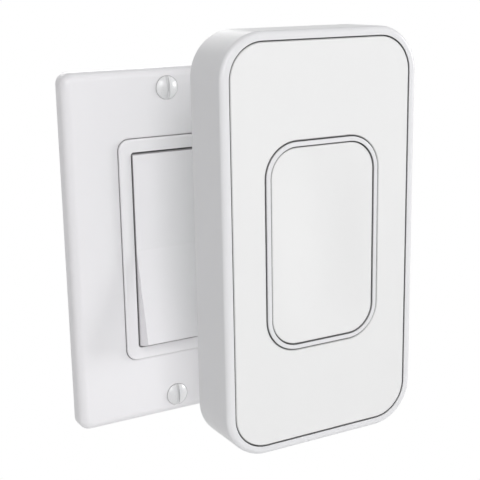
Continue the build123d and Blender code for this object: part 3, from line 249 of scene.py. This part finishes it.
# Finishes, one for each material slot of the record
FINISHES = {
    # Painted shade in narrow gaps is lighter on the plate than on the bezel, and faint on the screws
    "plate_plastic": plastic("plate_plastic", (0.85, 0.84, 0.86), 0.34, mottle=0.015, gap_shade=0.4),
    "bezel_plastic": plastic("bezel_plastic", (0.86, 0.85, 0.87), 0.30, gap_shade=0.6),
    "paddle_plastic": plastic("paddle_plastic", (0.87, 0.855, 0.88), 0.30),
    "screw_steel_white": plastic(
        "screw_steel_white", (0.82, 0.82, 0.83), 0.28, coat=0.3, gap_shade=0.15,
    ),
    "cover_plastic": plastic("cover_plastic", (0.79, 0.79, 0.805), 0.33),
    "panel_plastic": plastic(
        "panel_plastic", (0.83, 0.83, 0.83), 0.42, grain_scale=3600.0, grain_depth=3e-6,
    ),
    "button_plastic": plastic("button_plastic", (0.83, 0.83, 0.83), 0.38),
    "back_plastic": plastic(
        "back_plastic", (0.79, 0.79, 0.80), 0.55, grain_scale=1700.0, grain_depth=8e-6,
    ),
    "body_plastic": plastic(
        "body_plastic", (0.035, 0.035, 0.038), 0.5, grain_scale=1500.0, grain_depth=1e-5, mottle=0.3,
    ),
    "inner_nylon": plastic("inner_nylon", (0.66, 0.66, 0.62), 0.45, mottle=0.08),
    "black_plastic": plastic("black_plastic", (0.02, 0.02, 0.02), 0.4, mottle=0.2),
    "strap_steel": metal("strap_steel", (0.60, 0.60, 0.61), 0.32, tarnish=0.35),
    "silver_contact": metal("silver_contact", (0.78, 0.78, 0.79), 0.22),
    "spring_steel": metal("spring_steel", (0.58, 0.58, 0.60), 0.25),
    "brass": metal("brass", (0.72, 0.50, 0.20), 0.3, tarnish=0.4),
    "green_screw": metal("green_screw", (0.03, 0.30, 0.10), 0.35, metallic=0.6),
    "pad_foam": plastic(
        "pad_foam", (0.20, 0.20, 0.21), 0.95, grain_scale=3000.0, grain_depth=6e-5, mottle=0.3, specular=0.2,
    ),
    "cell_wrap": plastic("cell_wrap", (0.05, 0.12, 0.30), 0.25, coat=0.4),
    "board_trace": plastic("board_trace", (0.06, 0.30, 0.13), 0.25, coat=0.3),
    "board_green": plastic("board_green", (0.02, 0.16, 0.07), 0.3, coat=0.3),
}
SLOT_OF = {entry["node"]: entry["material_slot"] for entry in frame["record"]["subparts"]}
for node_name, node_object in frame["nodes"].items():
    node_object.data.materials.clear()
    node_object.data.materials.append(FINISHES[SLOT_OF[node_name]])


# Surfaces worked out on grids

def closed_skin(loops):
    """Points and faces of a closed skin from loops of points (rows x columns x 3).

    Neighbouring rows are joined by quads, the first and last loop by a fan to their mean point, and
    all faces are turned round together where the signed volume, a sum of a . (b x c) / 6, is negative.
    """
    rows, columns = loops.shape[:2]
    points = np.concatenate((loops.reshape(-1, 3), loops[:1].mean(axis=1), loops[-1:].mean(axis=1)))
    row, column = np.meshgrid(np.arange(rows - 1), np.arange(columns), indexing="ij")
    here = row * columns + column
    beside = row * columns + (column + 1) % columns
    quads = np.stack((here, beside, beside + columns, here + columns), axis=-1).reshape(-1, 4)
    ring = np.arange(columns)
    after = (ring + 1) % columns
    last = (rows - 1) * columns
    fans = np.concatenate((
        np.stack((after, ring, np.full(columns, rows * columns)), axis=1),
        np.stack((ring + last, after + last, np.full(columns, rows * columns + 1)), axis=1),
    ))
    triangles = np.concatenate((quads[:, (0, 1, 2)], quads[:, (0, 2, 3)], fans))
    a, b, c = (points[triangles[:, corner]] - points.mean(axis=0) for corner in range(3))
    if np.einsum("ij,ij->", a, np.cross(b, c)) < 0:
        quads, fans = quads[:, ::-1], fans[:, ::-1]
    return points, quads, fans


def make_piece(name, skins, body, slot, replaced=None, crease=32.0, finish=None):
    """One object from several closed skins, in millimetres; it rides on a body and has a slot's finish."""
    points, faces, start = [], [], 0
    for loops in skins:
        skin_points, quads, fans = closed_skin(np.asarray(loops, dtype=float))
        points.append(skin_points)
        faces += (quads + start).tolist() + (fans + start).tolist()
        start += len(skin_points)
    mesh = bpy.data.meshes.new(name)
    mesh.from_pydata((np.concatenate(points) * MM).tolist(), [], faces)
    build = bmesh.new()
    build.from_mesh(mesh)
    bmesh.ops.remove_doubles(build, verts=build.verts, dist=2e-7)
    bmesh.ops.dissolve_degenerate(build, edges=build.edges, dist=1e-7)
    build.to_mesh(mesh)
    build.free()
    mesh.shade_smooth()
    mesh.set_sharp_from_angle(angle=math.radians(crease))
    mesh.materials.append(FINISHES[finish or slot])
    piece = bpy.data.objects.new(name, mesh)
    bpy.context.scene.collection.objects.link(piece)
    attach(piece, body)
    if replaced:
        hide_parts(replaced)
    return piece


def rounded_loops(levels, half_w, half_h, radius, arc=7, side=8):
    """Rounded rectangles in x and z, one for each level in y.

    A corner point is the corner's centre plus the radius times a unit vector that sweeps a quarter
    turn, and the straights between two corners are divided evenly.
    """
    given = (np.atleast_1d(value).astype(float) for value in (levels, half_w, half_h, radius))
    levels, half_w, half_h, radius = np.broadcast_arrays(*given)
    angle = np.arange(4)[:, None] * np.pi / 2 + np.linspace(0, np.pi / 2, arc + 1)
    sign = np.array(((1, 1), (-1, 1), (-1, -1), (1, -1)))
    x = sign[:, 0, None] * (half_w - radius)[:, None, None] + radius[:, None, None] * np.cos(angle)
    z = sign[:, 1, None] * (half_h - radius)[:, None, None] + radius[:, None, None] * np.sin(angle)
    share = np.linspace(0, 1, side + 1)[1:-1]
    parts = []
    for value in (x, z):
        straight = value[:, :, -1:] * (1 - share) + np.roll(value[:, :, :1], -1, axis=1) * share
        parts.append(np.concatenate((value, straight), axis=2).reshape(len(levels), -1))
    return np.stack((parts[0], np.repeat(levels[:, None], parts[0].shape[1], axis=1), parts[1]), axis=-1)


def turned(profile, centre, axis, steps=40):
    """A profile of (distance along the axis, radius) turned round an axis.

    A point is centre + along * axis + radius * (u cos t + v sin t), with u and v across the axis.
    """
    along, radius = np.array(profile, dtype=float).T
    axis = np.array(axis, dtype=float)
    u = np.array((0.0, 0.0, 1.0)) if abs(axis[2]) < 0.5 else np.array((1.0, 0.0, 0.0))
    v = np.cross(axis, u)
    turn = np.linspace(0, 2 * np.pi, steps, endpoint=False)
    ring = np.cos(turn)[:, None] * u + np.sin(turn)[:, None] * v
    return np.array(centre) + along[:, None, None] * axis + radius[:, None, None] * ring


BLOCK_CAP_SHARE, BLOCK_CORNER_SHARE = 0.3, 0.05


def block(centre, size, corner, edge):
    """A low block in x and z with rounded corners; its front and back edges have a small bevel."""
    half_w, half_t, half_h = (value / 2 for value in size)
    level = np.array((-half_t, -half_t, -half_t + edge, half_t - edge, half_t, half_t))
    cap = edge + BLOCK_CAP_SHARE * min(half_w, half_h)
    inset = np.array((cap, edge, 0, 0, edge, cap))
    radius = np.maximum(corner - inset, BLOCK_CORNER_SHARE * corner)
    return rounded_loops(level, half_w - inset, half_h - inset, radius, arc=3, side=1) + np.array(centre)


def wound_tube(path, wire, sides=8):
    """A round wire along a path of points: each section is a circle across the path's tangent."""
    tangent = np.gradient(path, axis=0)
    tangent /= np.linalg.norm(tangent, axis=1, keepdims=True)
    across = np.cross(tangent, (0.0, 0.0, 1.0))
    across /= np.linalg.norm(across, axis=1, keepdims=True)
    other = np.cross(tangent, across)
    turn = np.linspace(0, 2 * np.pi, sides, endpoint=False)[:, None]
    ring = np.cos(turn) * across[:, None, :] + np.sin(turn) * other[:, None, :]
    return path[:, None, :] + wire * ring


# Push button

BUTTON_FLANGE, BUTTON_FLANGE_T, BUTTON_FACE_T = 1.1, 0.9, 1.9
BUTTON_CORNER, BUTTON_EDGE, BUTTON_STEM_R = 7.8, 0.35, 2.2
DISH_DEPTH = 1.6


def dished_button():
    """The button: a stem, a flange behind the ring and a face with a soft dish.

    Each row is a rounded rectangle at one level. On the face the rows are the outline times s, and a
    point there lies deeper by depth * (1 - (x/a)^2)^2 * (1 - (z/b)^2), so the dish starts level at
    the sides.
    """
    lowest, highest = low("push_button"), high("push_button")
    centre = (lowest + highest) / 2
    flange_w, flange_h = (highest[0] - lowest[0]) / 2, (highest[2] - lowest[2]) / 2
    half_w, half_h = flange_w - BUTTON_FLANGE, flange_h - BUTTON_FLANGE
    front, stem_end = lowest[1], highest[1]
    flange_front = front + BUTTON_FACE_T
    flange_back = flange_front + BUTTON_FLANGE_T
    stem = BUTTON_STEM_R
    rows = [
        (stem_end, 0.4 * stem, 0.4 * stem, 0.4 * stem), (stem_end, 0.9 * stem, 0.9 * stem, 0.9 * stem),
        (stem_end - 0.1 * stem, stem, stem, stem), (flange_back + 0.2 * stem, stem, stem, stem),
        (flange_back, 1.2 * stem, 1.2 * stem, 1.2 * stem),
        (flange_back, flange_w - 0.2, flange_h - 0.2, BUTTON_CORNER + BUTTON_FLANGE - 0.2),
        (flange_back - 0.2, flange_w, flange_h, BUTTON_CORNER + BUTTON_FLANGE),
        (flange_front, flange_w, flange_h, BUTTON_CORNER + BUTTON_FLANGE),
        (flange_front, half_w, half_h, BUTTON_CORNER),
    ]
    for turn in np.linspace(0, np.pi / 2, 6):
        inset = BUTTON_EDGE * (1 - math.cos(turn))
        level = front + BUTTON_EDGE * (1 - math.sin(turn))
        rows.append((level, half_w - inset, half_h - inset, BUTTON_CORNER - inset))
    shares = np.concatenate((np.linspace(1, 0.9, 8)[1:], np.linspace(0.9, 0.03, 30)[1:]))
    rim_w, rim_h = half_w - BUTTON_EDGE, half_h - BUTTON_EDGE
    rim_corner = BUTTON_CORNER - BUTTON_EDGE
    rows += [(front, share * rim_w, share * rim_h, share * rim_corner) for share in shares]
    loops = rounded_loops(*np.array(rows).T, arc=10, side=14)
    face = loops[-len(shares):]
    across = np.clip(1 - (face[..., 0] / rim_w) ** 2, 0, 1)
    along = np.clip(1 - (face[..., 2] / rim_h) ** 2, 0, 1)
    face[..., 1] += DISH_DEPTH * across ** 2 * along
    loops += np.array((centre[0], 0, centre[2]))
    make_piece("dished_button", [loops], "button", "button_plastic", "push_button")


dished_button()


# Threads, springs and cells

THREAD_STEPS, THREAD_RUN_OUT = 22, 1.5
THREAD_ROOT, THREAD_FOOT, THREAD_CREST = 0.08, 0.42, 0.08


def screw_thread(centre, axis, radius, pitch, length, depth):
    """A raised right-handed thread.

    A low trapezoid is carried along centre + radius (u cos t + v sin t) + axis * pitch t / 2 pi, and its
    height runs out at both ends.
    """
    axis = np.array(axis, dtype=float)
    u = np.array((1.0, 0.0, 0.0)) if abs(axis[0]) < 0.5 else np.array((0.0, 0.0, 1.0))
    v = np.cross(axis, u)
    turn = np.linspace(0, 2 * np.pi * length / pitch, int(length / pitch * THREAD_STEPS))
    ring = np.cos(turn)[:, None] * u + np.sin(turn)[:, None] * v
    fade = np.clip(np.minimum(turn, turn[-1] - turn) / THREAD_RUN_OUT, 0.02, 1)
    out = np.array((-THREAD_ROOT, depth, depth, -THREAD_ROOT))
    along = np.array((-THREAD_FOOT, -THREAD_CREST, THREAD_CREST, THREAD_FOOT)) * pitch
    radial = radius + np.where(out > 0, out * fade[:, None], out)
    place = np.array(centre) + (pitch * turn / (2 * np.pi))[:, None] * axis
    return place[:, None, :] + radial[..., None] * ring[:, None, :] + along[:, None] * axis


WALL_THREAD_R, WALL_THREAD_PITCH, WALL_THREAD_DEPTH = 1.75, 0.79, 0.14
WALL_THREAD_SPANS = {
    "plate_screw_upper": (3.0, 11.4),
    "plate_screw_lower": (3.0, 11.4),
    "box_screw_upper": (4.0, 25.0),
    "box_screw_lower": (4.0, 25.0),
}


def wall_screw_threads():
    """Threads on the shanks of the plate screws and the box screws, between two distances from the head."""
    for node, (start, end) in WALL_THREAD_SPANS.items():
        lowest, centre = low(node), middle(node)
        place = (centre[0], lowest[1] + start, centre[2])
        thread = screw_thread(
            place, (0, 1, 0), WALL_THREAD_R, WALL_THREAD_PITCH, end - start, WALL_THREAD_DEPTH,
        )
        make_piece(node + "_thread", [thread], "wall_switch", SLOT_OF[node])


LEAD, LEAD_STARTS = 2.0, 2
LEAD_CORE_R, LEAD_CREST_R, JOURNAL_R = 1.12, 1.5, 1.0
LEAD_ROWS, LEAD_STEPS, LEAD_RUN_OUT, JOURNAL_CHAMFER = 400, 28, 0.6, 0.2
DRIVE_SPAN = (-26.25, 26.25)


def threaded_lead_screw():
    """The lead screw: journals at both ends and a two-start right-handed thread between them.

    Between the journals the radius is core + (crest - core) * ramp(phase), with phase = (z - lead t / 2 pi)
    * starts / lead, and ramp is a clipped triangle wave.
    """
    lowest, highest = low("lead_screw"), high("lead_screw")
    centre = (lowest + highest) / 2
    base = middle("cover_shell")[2]
    first, last = base + DRIVE_SPAN[0], base + DRIVE_SPAN[1]
    z = np.linspace(first, last, LEAD_ROWS)
    turn = np.linspace(0, 2 * np.pi, LEAD_STEPS, endpoint=False)
    phase = ((z[:, None] - LEAD * turn / (2 * np.pi)) * LEAD_STARTS / LEAD) % 1
    ramp = np.clip(1.8 * np.abs(2 * phase - 1) - 0.4, 0, 1)
    fade = np.clip(np.minimum(z - first, last - z) / LEAD_RUN_OUT, 0, 1)[:, None]
    radius = LEAD_CORE_R + (LEAD_CREST_R - LEAD_CORE_R) * ramp * fade
    narrow = 0.8 * JOURNAL_R
    before = ((lowest[2], narrow), (lowest[2] + JOURNAL_CHAMFER, JOURNAL_R), (first, JOURNAL_R))
    after = ((last, JOURNAL_R), (highest[2] - JOURNAL_CHAMFER, JOURNAL_R), (highest[2], narrow))
    before, after = np.array(before), np.array(after)
    heights = np.concatenate((before[:, 0], z, after[:, 0]))
    journals = [np.repeat(end[:, 1:], LEAD_STEPS, axis=1) for end in (before, after)]
    radii = np.concatenate((journals[0], radius, journals[1]))
    x, y = centre[0] + radii * np.cos(turn), centre[1] + radii * np.sin(turn)
    loops = np.stack((x, y, np.broadcast_to(heights[:, None], x.shape)), axis=-1)
    make_piece("lead_screw_threaded", [loops], "screw_shaft", "spring_steel", "lead_screw", crease=50.0)


CELL_SLEEVE_OVER, CELL_TIP_L, CELL_STEPS = 0.10, 0.8, 48


def dressed_cells():
    """The cells: a steel can with its nub, and a sleeve that laps over both ends, as turned profiles."""
    for place in ("upper", "lower"):
        node = "cell_" + place
        lowest, highest = low(node), high(node)
        radius, length = (highest[0] - lowest[0]) / 2, highest[2] - lowest[2]
        centre = ((lowest[0] + highest[0]) / 2, (lowest[1] + highest[1]) / 2, lowest[2])
        shoulder = length - CELL_TIP_L
        can = radius - CELL_SLEEVE_OVER
        steel = [
            (0.35, 0.3 * can), (0.3, 0.62 * can), (0.0, 0.70 * can), (0.0, 0.86 * can), (0.3, can),
            (shoulder - 0.6, can), (shoulder - 0.25, 0.9 * can), (shoulder - 0.15, 0.62 * can),
            (shoulder - 0.3, 0.52 * can), (shoulder - 0.1, 0.36 * can), (length - 0.15, 0.35 * can),
            (length, 0.30 * can), (length, 0.1 * can),
        ]
        sleeve = [
            (0.12, 0.88 * can), (0.05, 0.95 * radius), (0.35, radius), (shoulder - 0.55, radius),
            (shoulder - 0.1, 0.93 * radius), (shoulder - 0.05, 0.80 * can), (shoulder - 0.2, 0.80 * can),
            (shoulder - 0.5, 0.97 * can), (0.45, 0.98 * can), (0.2, 0.88 * can),
        ]
        can_skin = turned(steel, centre, (0, 0, 1), CELL_STEPS)
        sleeve_skin = turned(sleeve, centre, (0, 0, 1), CELL_STEPS)
        make_piece("cell_can_" + place, [can_skin], "cover", "spring_steel")
        make_piece("cell_sleeve_" + place, [sleeve_skin], "cover", "cell_wrap", node)


LEAF_T = 0.4
COIL_BASE_R, COIL_END_R, COIL_WIRE = 2.1, 1.35, 0.26
COIL_TURNS, COIL_POINTS, COIL_FLAT_SHARE = 4.2, 150, 0.12


def bay_springs():
    """Contact springs at both ends of the bay: a flat leaf and a tapering coil.

    The coil's radius is base + (end - base) * share of its length, and its first and last turns lie flat.
    """
    for place, outward in (("upper", 1), ("lower", -1)):
        node = "contact_leaf_" + place
        lowest, highest = low(node), high(node)
        centre = (lowest + highest) / 2
        leaf_z = (highest[2] if outward > 0 else lowest[2]) - outward * LEAF_T / 2
        tip_z = lowest[2] if outward > 0 else highest[2]
        half_w, half_y = (highest[0] - lowest[0]) / 2, (highest[1] - lowest[1]) / 2
        plate = rounded_loops((-LEAF_T / 2, LEAF_T / 2), half_w, half_y, 2 * LEAF_T, arc=4, side=1)
        leaf = plate[..., (0, 2, 1)] + np.array((centre[0], centre[1], leaf_z))
        share = np.linspace(0, 1, COIL_POINTS)
        radius = COIL_BASE_R + (COIL_END_R - COIL_BASE_R) * share
        start_z = leaf_z - outward * (LEAF_T / 2 + 0.6 * COIL_WIRE)
        climb = np.clip((share - COIL_FLAT_SHARE) / (1 - 2 * COIL_FLAT_SHARE), 0, 1)
        height = start_z + (tip_z + outward * COIL_WIRE - start_z) * climb
        turn = 2 * np.pi * COIL_TURNS * share
        x, y = centre[0] + radius * np.cos(turn), centre[1] + radius * np.sin(turn)
        coil = wound_tube(np.stack((x, y, height), axis=-1), COIL_WIRE)
        make_piece("bay_spring_" + place, [leaf, coil], "cover", "spring_steel", node)


wall_screw_threads()
threaded_lead_screw()
dressed_cells()
bay_springs()


# Circuit board, seen through the recess; places are (x, z) from the board's middle

SUNK = 0.01
CHIPS = (  # x, z, width, height, thickness, corner, bevel
    (-6.5, 30.4, 7.0, 7.0, 0.9, 0.2, 0.08), (8.0, 31.0, 4.0, 5.0, 0.8, 0.15, 0.06),
    (5.5, -30.6, 5.0, 5.0, 0.9, 0.15, 0.08), (-10.5, -31.5, 3.0, 1.7, 0.9, 0.1, 0.05),
)
RESISTORS = (
    (13.0, 29.0), (13.0, 31.0), (13.0, 33.0), (-13.0, 28.0), (-13.0, 30.0),
    (-2.0, -29.0), (-2.0, -31.0), (-2.0, -33.0), (12.0, -29.5), (12.0, -31.5),
)
SIDE_LEGS = (  # chip x, chip z, out from the chip's middle, pitch, legs each way, length, width
    (-6.5, 30.4, 3.95, 0.65, 4, 0.9, 0.3),
    (5.5, -30.6, 2.8, 0.8, 2, 0.8, 0.35),
    (8.0, 31.0, 2.3, 1.0, 1, 0.8, 0.4),
)
LEG_T, PAD_COUNT, PAD_PITCH = 0.12, 8, 2.54
VIAS = (
    (-11.0, 21.5), (-9.0, 18.5), (-7.0, 15.5), (-4.0, 22.0), (0.0, 20.0), (4.0, 22.5), (8.5, 19.0),
    (11.5, 23.0), (13.0, -6.0), (13.0, -12.0), (9.5, -18.0), (4.0, -22.0), (-3.0, -20.5), (-8.0, -17.0),
    (13.5, 4.0),
)
TRACE_HALF_W, TRACE_T = 0.16, 0.035
TRACES = (  # start x, start z, end x, end z
    (-11.0, 27.0, -11.0, 21.5), (-9.0, 26.0, -9.0, 18.5), (-7.0, 26.0, -7.0, 15.5),
    (-4.0, 26.0, -4.0, 22.0), (8.0, 28.0, 8.5, 19.0), (11.5, 28.0, 11.5, 23.0),
    (13.0, -6.0, 13.0, -28.0), (9.5, -18.0, 9.5, -27.5), (4.0, -22.0, 4.0, -27.5),
    (-3.0, -20.5, -3.0, -28.0), (-13.2, 12.0, 6.0, 12.0), (-13.2, 9.46, 4.0, 9.46),
    (-13.2, 6.92, 10.0, 6.92), (-13.2, 4.38, 13.5, 4.0), (-13.2, -5.78, -8.0, -17.0),
    (0.0, 20.0, 0.0, 12.0), (8.5, 19.0, 10.0, 6.92), (-13.2, 1.84, 13.0, -6.0),
    (-13.2, -0.7, 13.0, -12.0), (-13.2, -3.24, 9.5, -18.0),
)


def board_details():
    """Chips, small parts, pads, vias and traces on the board's back, all low enough for the carriage."""
    centre = middle("circuit_board")
    back = high("circuit_board")[1]

    def laid(x, z, w, h, t, corner, edge):
        return block((centre[0] + x, back + t / 2 - SUNK, centre[2] + z), (w, t, h), corner, edge)

    solder = []
    for x, z, out, pitch, count, length, width in SIDE_LEGS:
        for side in (-1, 1):
            for step in range(-count, count + 1):
                solder.append(laid(x + side * out, z + pitch * step, length, width, LEG_T, 0.05, 0.02))
    x, z, out, pitch, count, length, width = SIDE_LEGS[0]
    for side in (-1, 1):
        for step in range(-count, count + 1):
            solder.append(laid(x + pitch * step, z + side * out, width, length, LEG_T, 0.05, 0.02))
    for x, z in RESISTORS:
        solder += [laid(x + side * 0.95, z, 0.35, 0.85, 0.5, 0.05, 0.03) for side in (-1, 1)]
    solder += [laid(-14.0, 12.0 - PAD_PITCH * step, 1.5, 1.5, 0.06, 0.7, 0.02) for step in range(PAD_COUNT)]
    solder += [laid(x, z, 0.7, 0.7, 0.05, 0.34, 0.015) for x, z in VIAS]
    make_piece("board_chips", [laid(*chip) for chip in CHIPS], "cover", "black_plastic")
    small = [laid(x, z, 1.6, 0.8, 0.6, 0.1, 0.05) for x, z in RESISTORS]
    make_piece("board_resistors", small, "cover", "body_plastic")
    make_piece("board_solder", solder, "cover", "silver_contact")
    runs = []
    for trace in TRACES:
        start, end = np.array(trace[:2]), np.array(trace[2:])
        away = end - start
        side = np.array((-away[1], away[0])) / np.hypot(*away) * TRACE_HALF_W
        corners = np.array((start + side, end + side, end - side, start - side)) + centre[[0, 2]]
        runs.append([[(x, level, z) for x, z in corners] for level in (back - SUNK, back + TRACE_T)])
    make_piece("board_traces", runs, "cover", "board_green", finish="board_trace")


board_details()


# Camera at the photograph's angle, worked out from the cover's edges
AZIMUTH, ELEVATION, ROLL = -29.15, 13.77, -1.05
FOCAL_PIXELS, FRAME_PIXELS = 1058.3, 480.0
CAMERA_DISTANCE = 272.74
COVER_MIDDLE = middle("cover_shell")
AIM = np.array([COVER_MIDDLE[0] - 25.78, low("cover_shell")[1], COVER_MIDDLE[2] + 4.46])


def photo_camera():
    """Camera whose axes are right, up and back of the photographed view."""
    a, e, r = (math.radians(value) for value in (AZIMUTH, ELEVATION, ROLL))
    back = Vector((math.sin(a) * math.cos(e), -math.cos(a) * math.cos(e), math.sin(e)))
    level_right = Vector((math.cos(a), math.sin(a), 0))
    level_up = back.cross(level_right)
    right = level_right * math.cos(r) + level_up * math.sin(r)
    up = -level_right * math.sin(r) + level_up * math.cos(r)
    data = bpy.data.cameras.new("photo_camera")
    data.sensor_width = 36.0
    data.lens = FOCAL_PIXELS * data.sensor_width / FRAME_PIXELS
    data.clip_start, data.clip_end = 0.01, 20.0
    camera = bpy.data.objects.new("photo_camera", data)
    bpy.context.scene.collection.objects.link(camera)
    place = (Vector(AIM) + back * CAMERA_DISTANCE) * MM
    camera.matrix_world = Matrix.Translation(place) @ Matrix((right, up, back)).transposed().to_4x4()
    bpy.context.scene.camera = camera


photo_camera()


# Floor, backdrop and light

def seen_as(tree, plain, white):
    """Shader that is white to the camera, glossy and transmission rays, and plain to all others."""
    path = tree.nodes.new("ShaderNodeLightPath")
    straight = math_node(tree, "MAXIMUM", path.outputs["Is Camera Ray"], path.outputs["Is Glossy Ray"])
    straight = math_node(tree, "MAXIMUM", straight, path.outputs["Is Transmission Ray"])
    mix = tree.nodes.new("ShaderNodeMixShader")
    tree.links.new(straight, mix.inputs[0])
    tree.links.new(plain, mix.inputs[1])
    tree.links.new(white, mix.inputs[2])
    return mix.outputs[0]


WORLD_LIGHT = 0.255
FLOOR_HALF, FLOOR_DROP = 4.0, 0.16
LAMPS = {  # place in metres, side in metres, watts
    "key_lamp": ((-0.50, -1.25, 0.62), 0.8, 11.9),
    "back_lamp": ((0.35, 1.6, 0.45), 0.9, 5.0),
    "right_lamp": ((1.5, -0.5, 0.25), 0.4, 10.0),
}


def studio_world():
    """White world to the eye, softer as a light."""
    world = bpy.data.worlds.new("studio_world")
    world.use_nodes = True
    tree = world.node_tree
    plain = tree.nodes["Background"]
    plain.inputs["Color"].default_value = (1, 1, 1, 1)
    plain.inputs["Strength"].default_value = WORLD_LIGHT
    white = tree.nodes.new("ShaderNodeBackground")
    white.inputs["Color"].default_value = (1, 1, 1, 1)
    white.inputs["Strength"].default_value = 1.0
    shown = seen_as(tree, plain.outputs[0], white.outputs[0])
    tree.links.new(shown, tree.nodes["World Output"].inputs["Surface"])
    bpy.context.scene.world = world


def pale_floor():
    """A wide floor below the object; it keeps the object's shadow in its diffuse half."""
    level = low("cover_shell")[2] * MM - FLOOR_DROP
    corners = [(x * FLOOR_HALF, y * FLOOR_HALF, level) for x, y in ((-1, -1), (1, -1), (1, 1), (-1, 1))]
    mesh = bpy.data.meshes.new("pale_floor")
    mesh.from_pydata(corners, [], [(0, 1, 2, 3)])
    floor = bpy.data.objects.new("pale_floor", mesh)
    bpy.context.scene.collection.objects.link(floor)
    material, tree, shader = start_material("pale_floor")
    shader.inputs["Base Color"].default_value = (0.9, 0.9, 0.9, 1)
    shader.inputs["Roughness"].default_value = 0.9
    shader.inputs["Specular IOR Level"].default_value = 0.0
    glow = tree.nodes.new("ShaderNodeEmission")
    glow.inputs["Strength"].default_value = 1.0
    shown = seen_as(tree, shader.outputs[0], glow.outputs[0])
    tree.links.new(shown, tree.nodes["Material Output"].inputs["Surface"])
    mesh.materials.append(material)


def soft_lamp(name, place, size, watts):
    """Square area lamp at a place, turned to the plate's middle."""
    data = bpy.data.lights.new(name, "AREA")
    data.size = size
    data.energy = watts
    lamp = bpy.data.objects.new(name, data)
    bpy.context.scene.collection.objects.link(lamp)
    turn = (-Vector(place)).to_track_quat("-Z", "Y")
    lamp.matrix_world = Matrix.Translation(place) @ turn.to_matrix().to_4x4()


studio_world()
pale_floor()
for lamp_name, (lamp_place, lamp_size, lamp_watts) in LAMPS.items():
    soft_lamp(lamp_name, lamp_place, lamp_size, lamp_watts)

bpy.context.scene.view_settings.view_transform = "Standard"
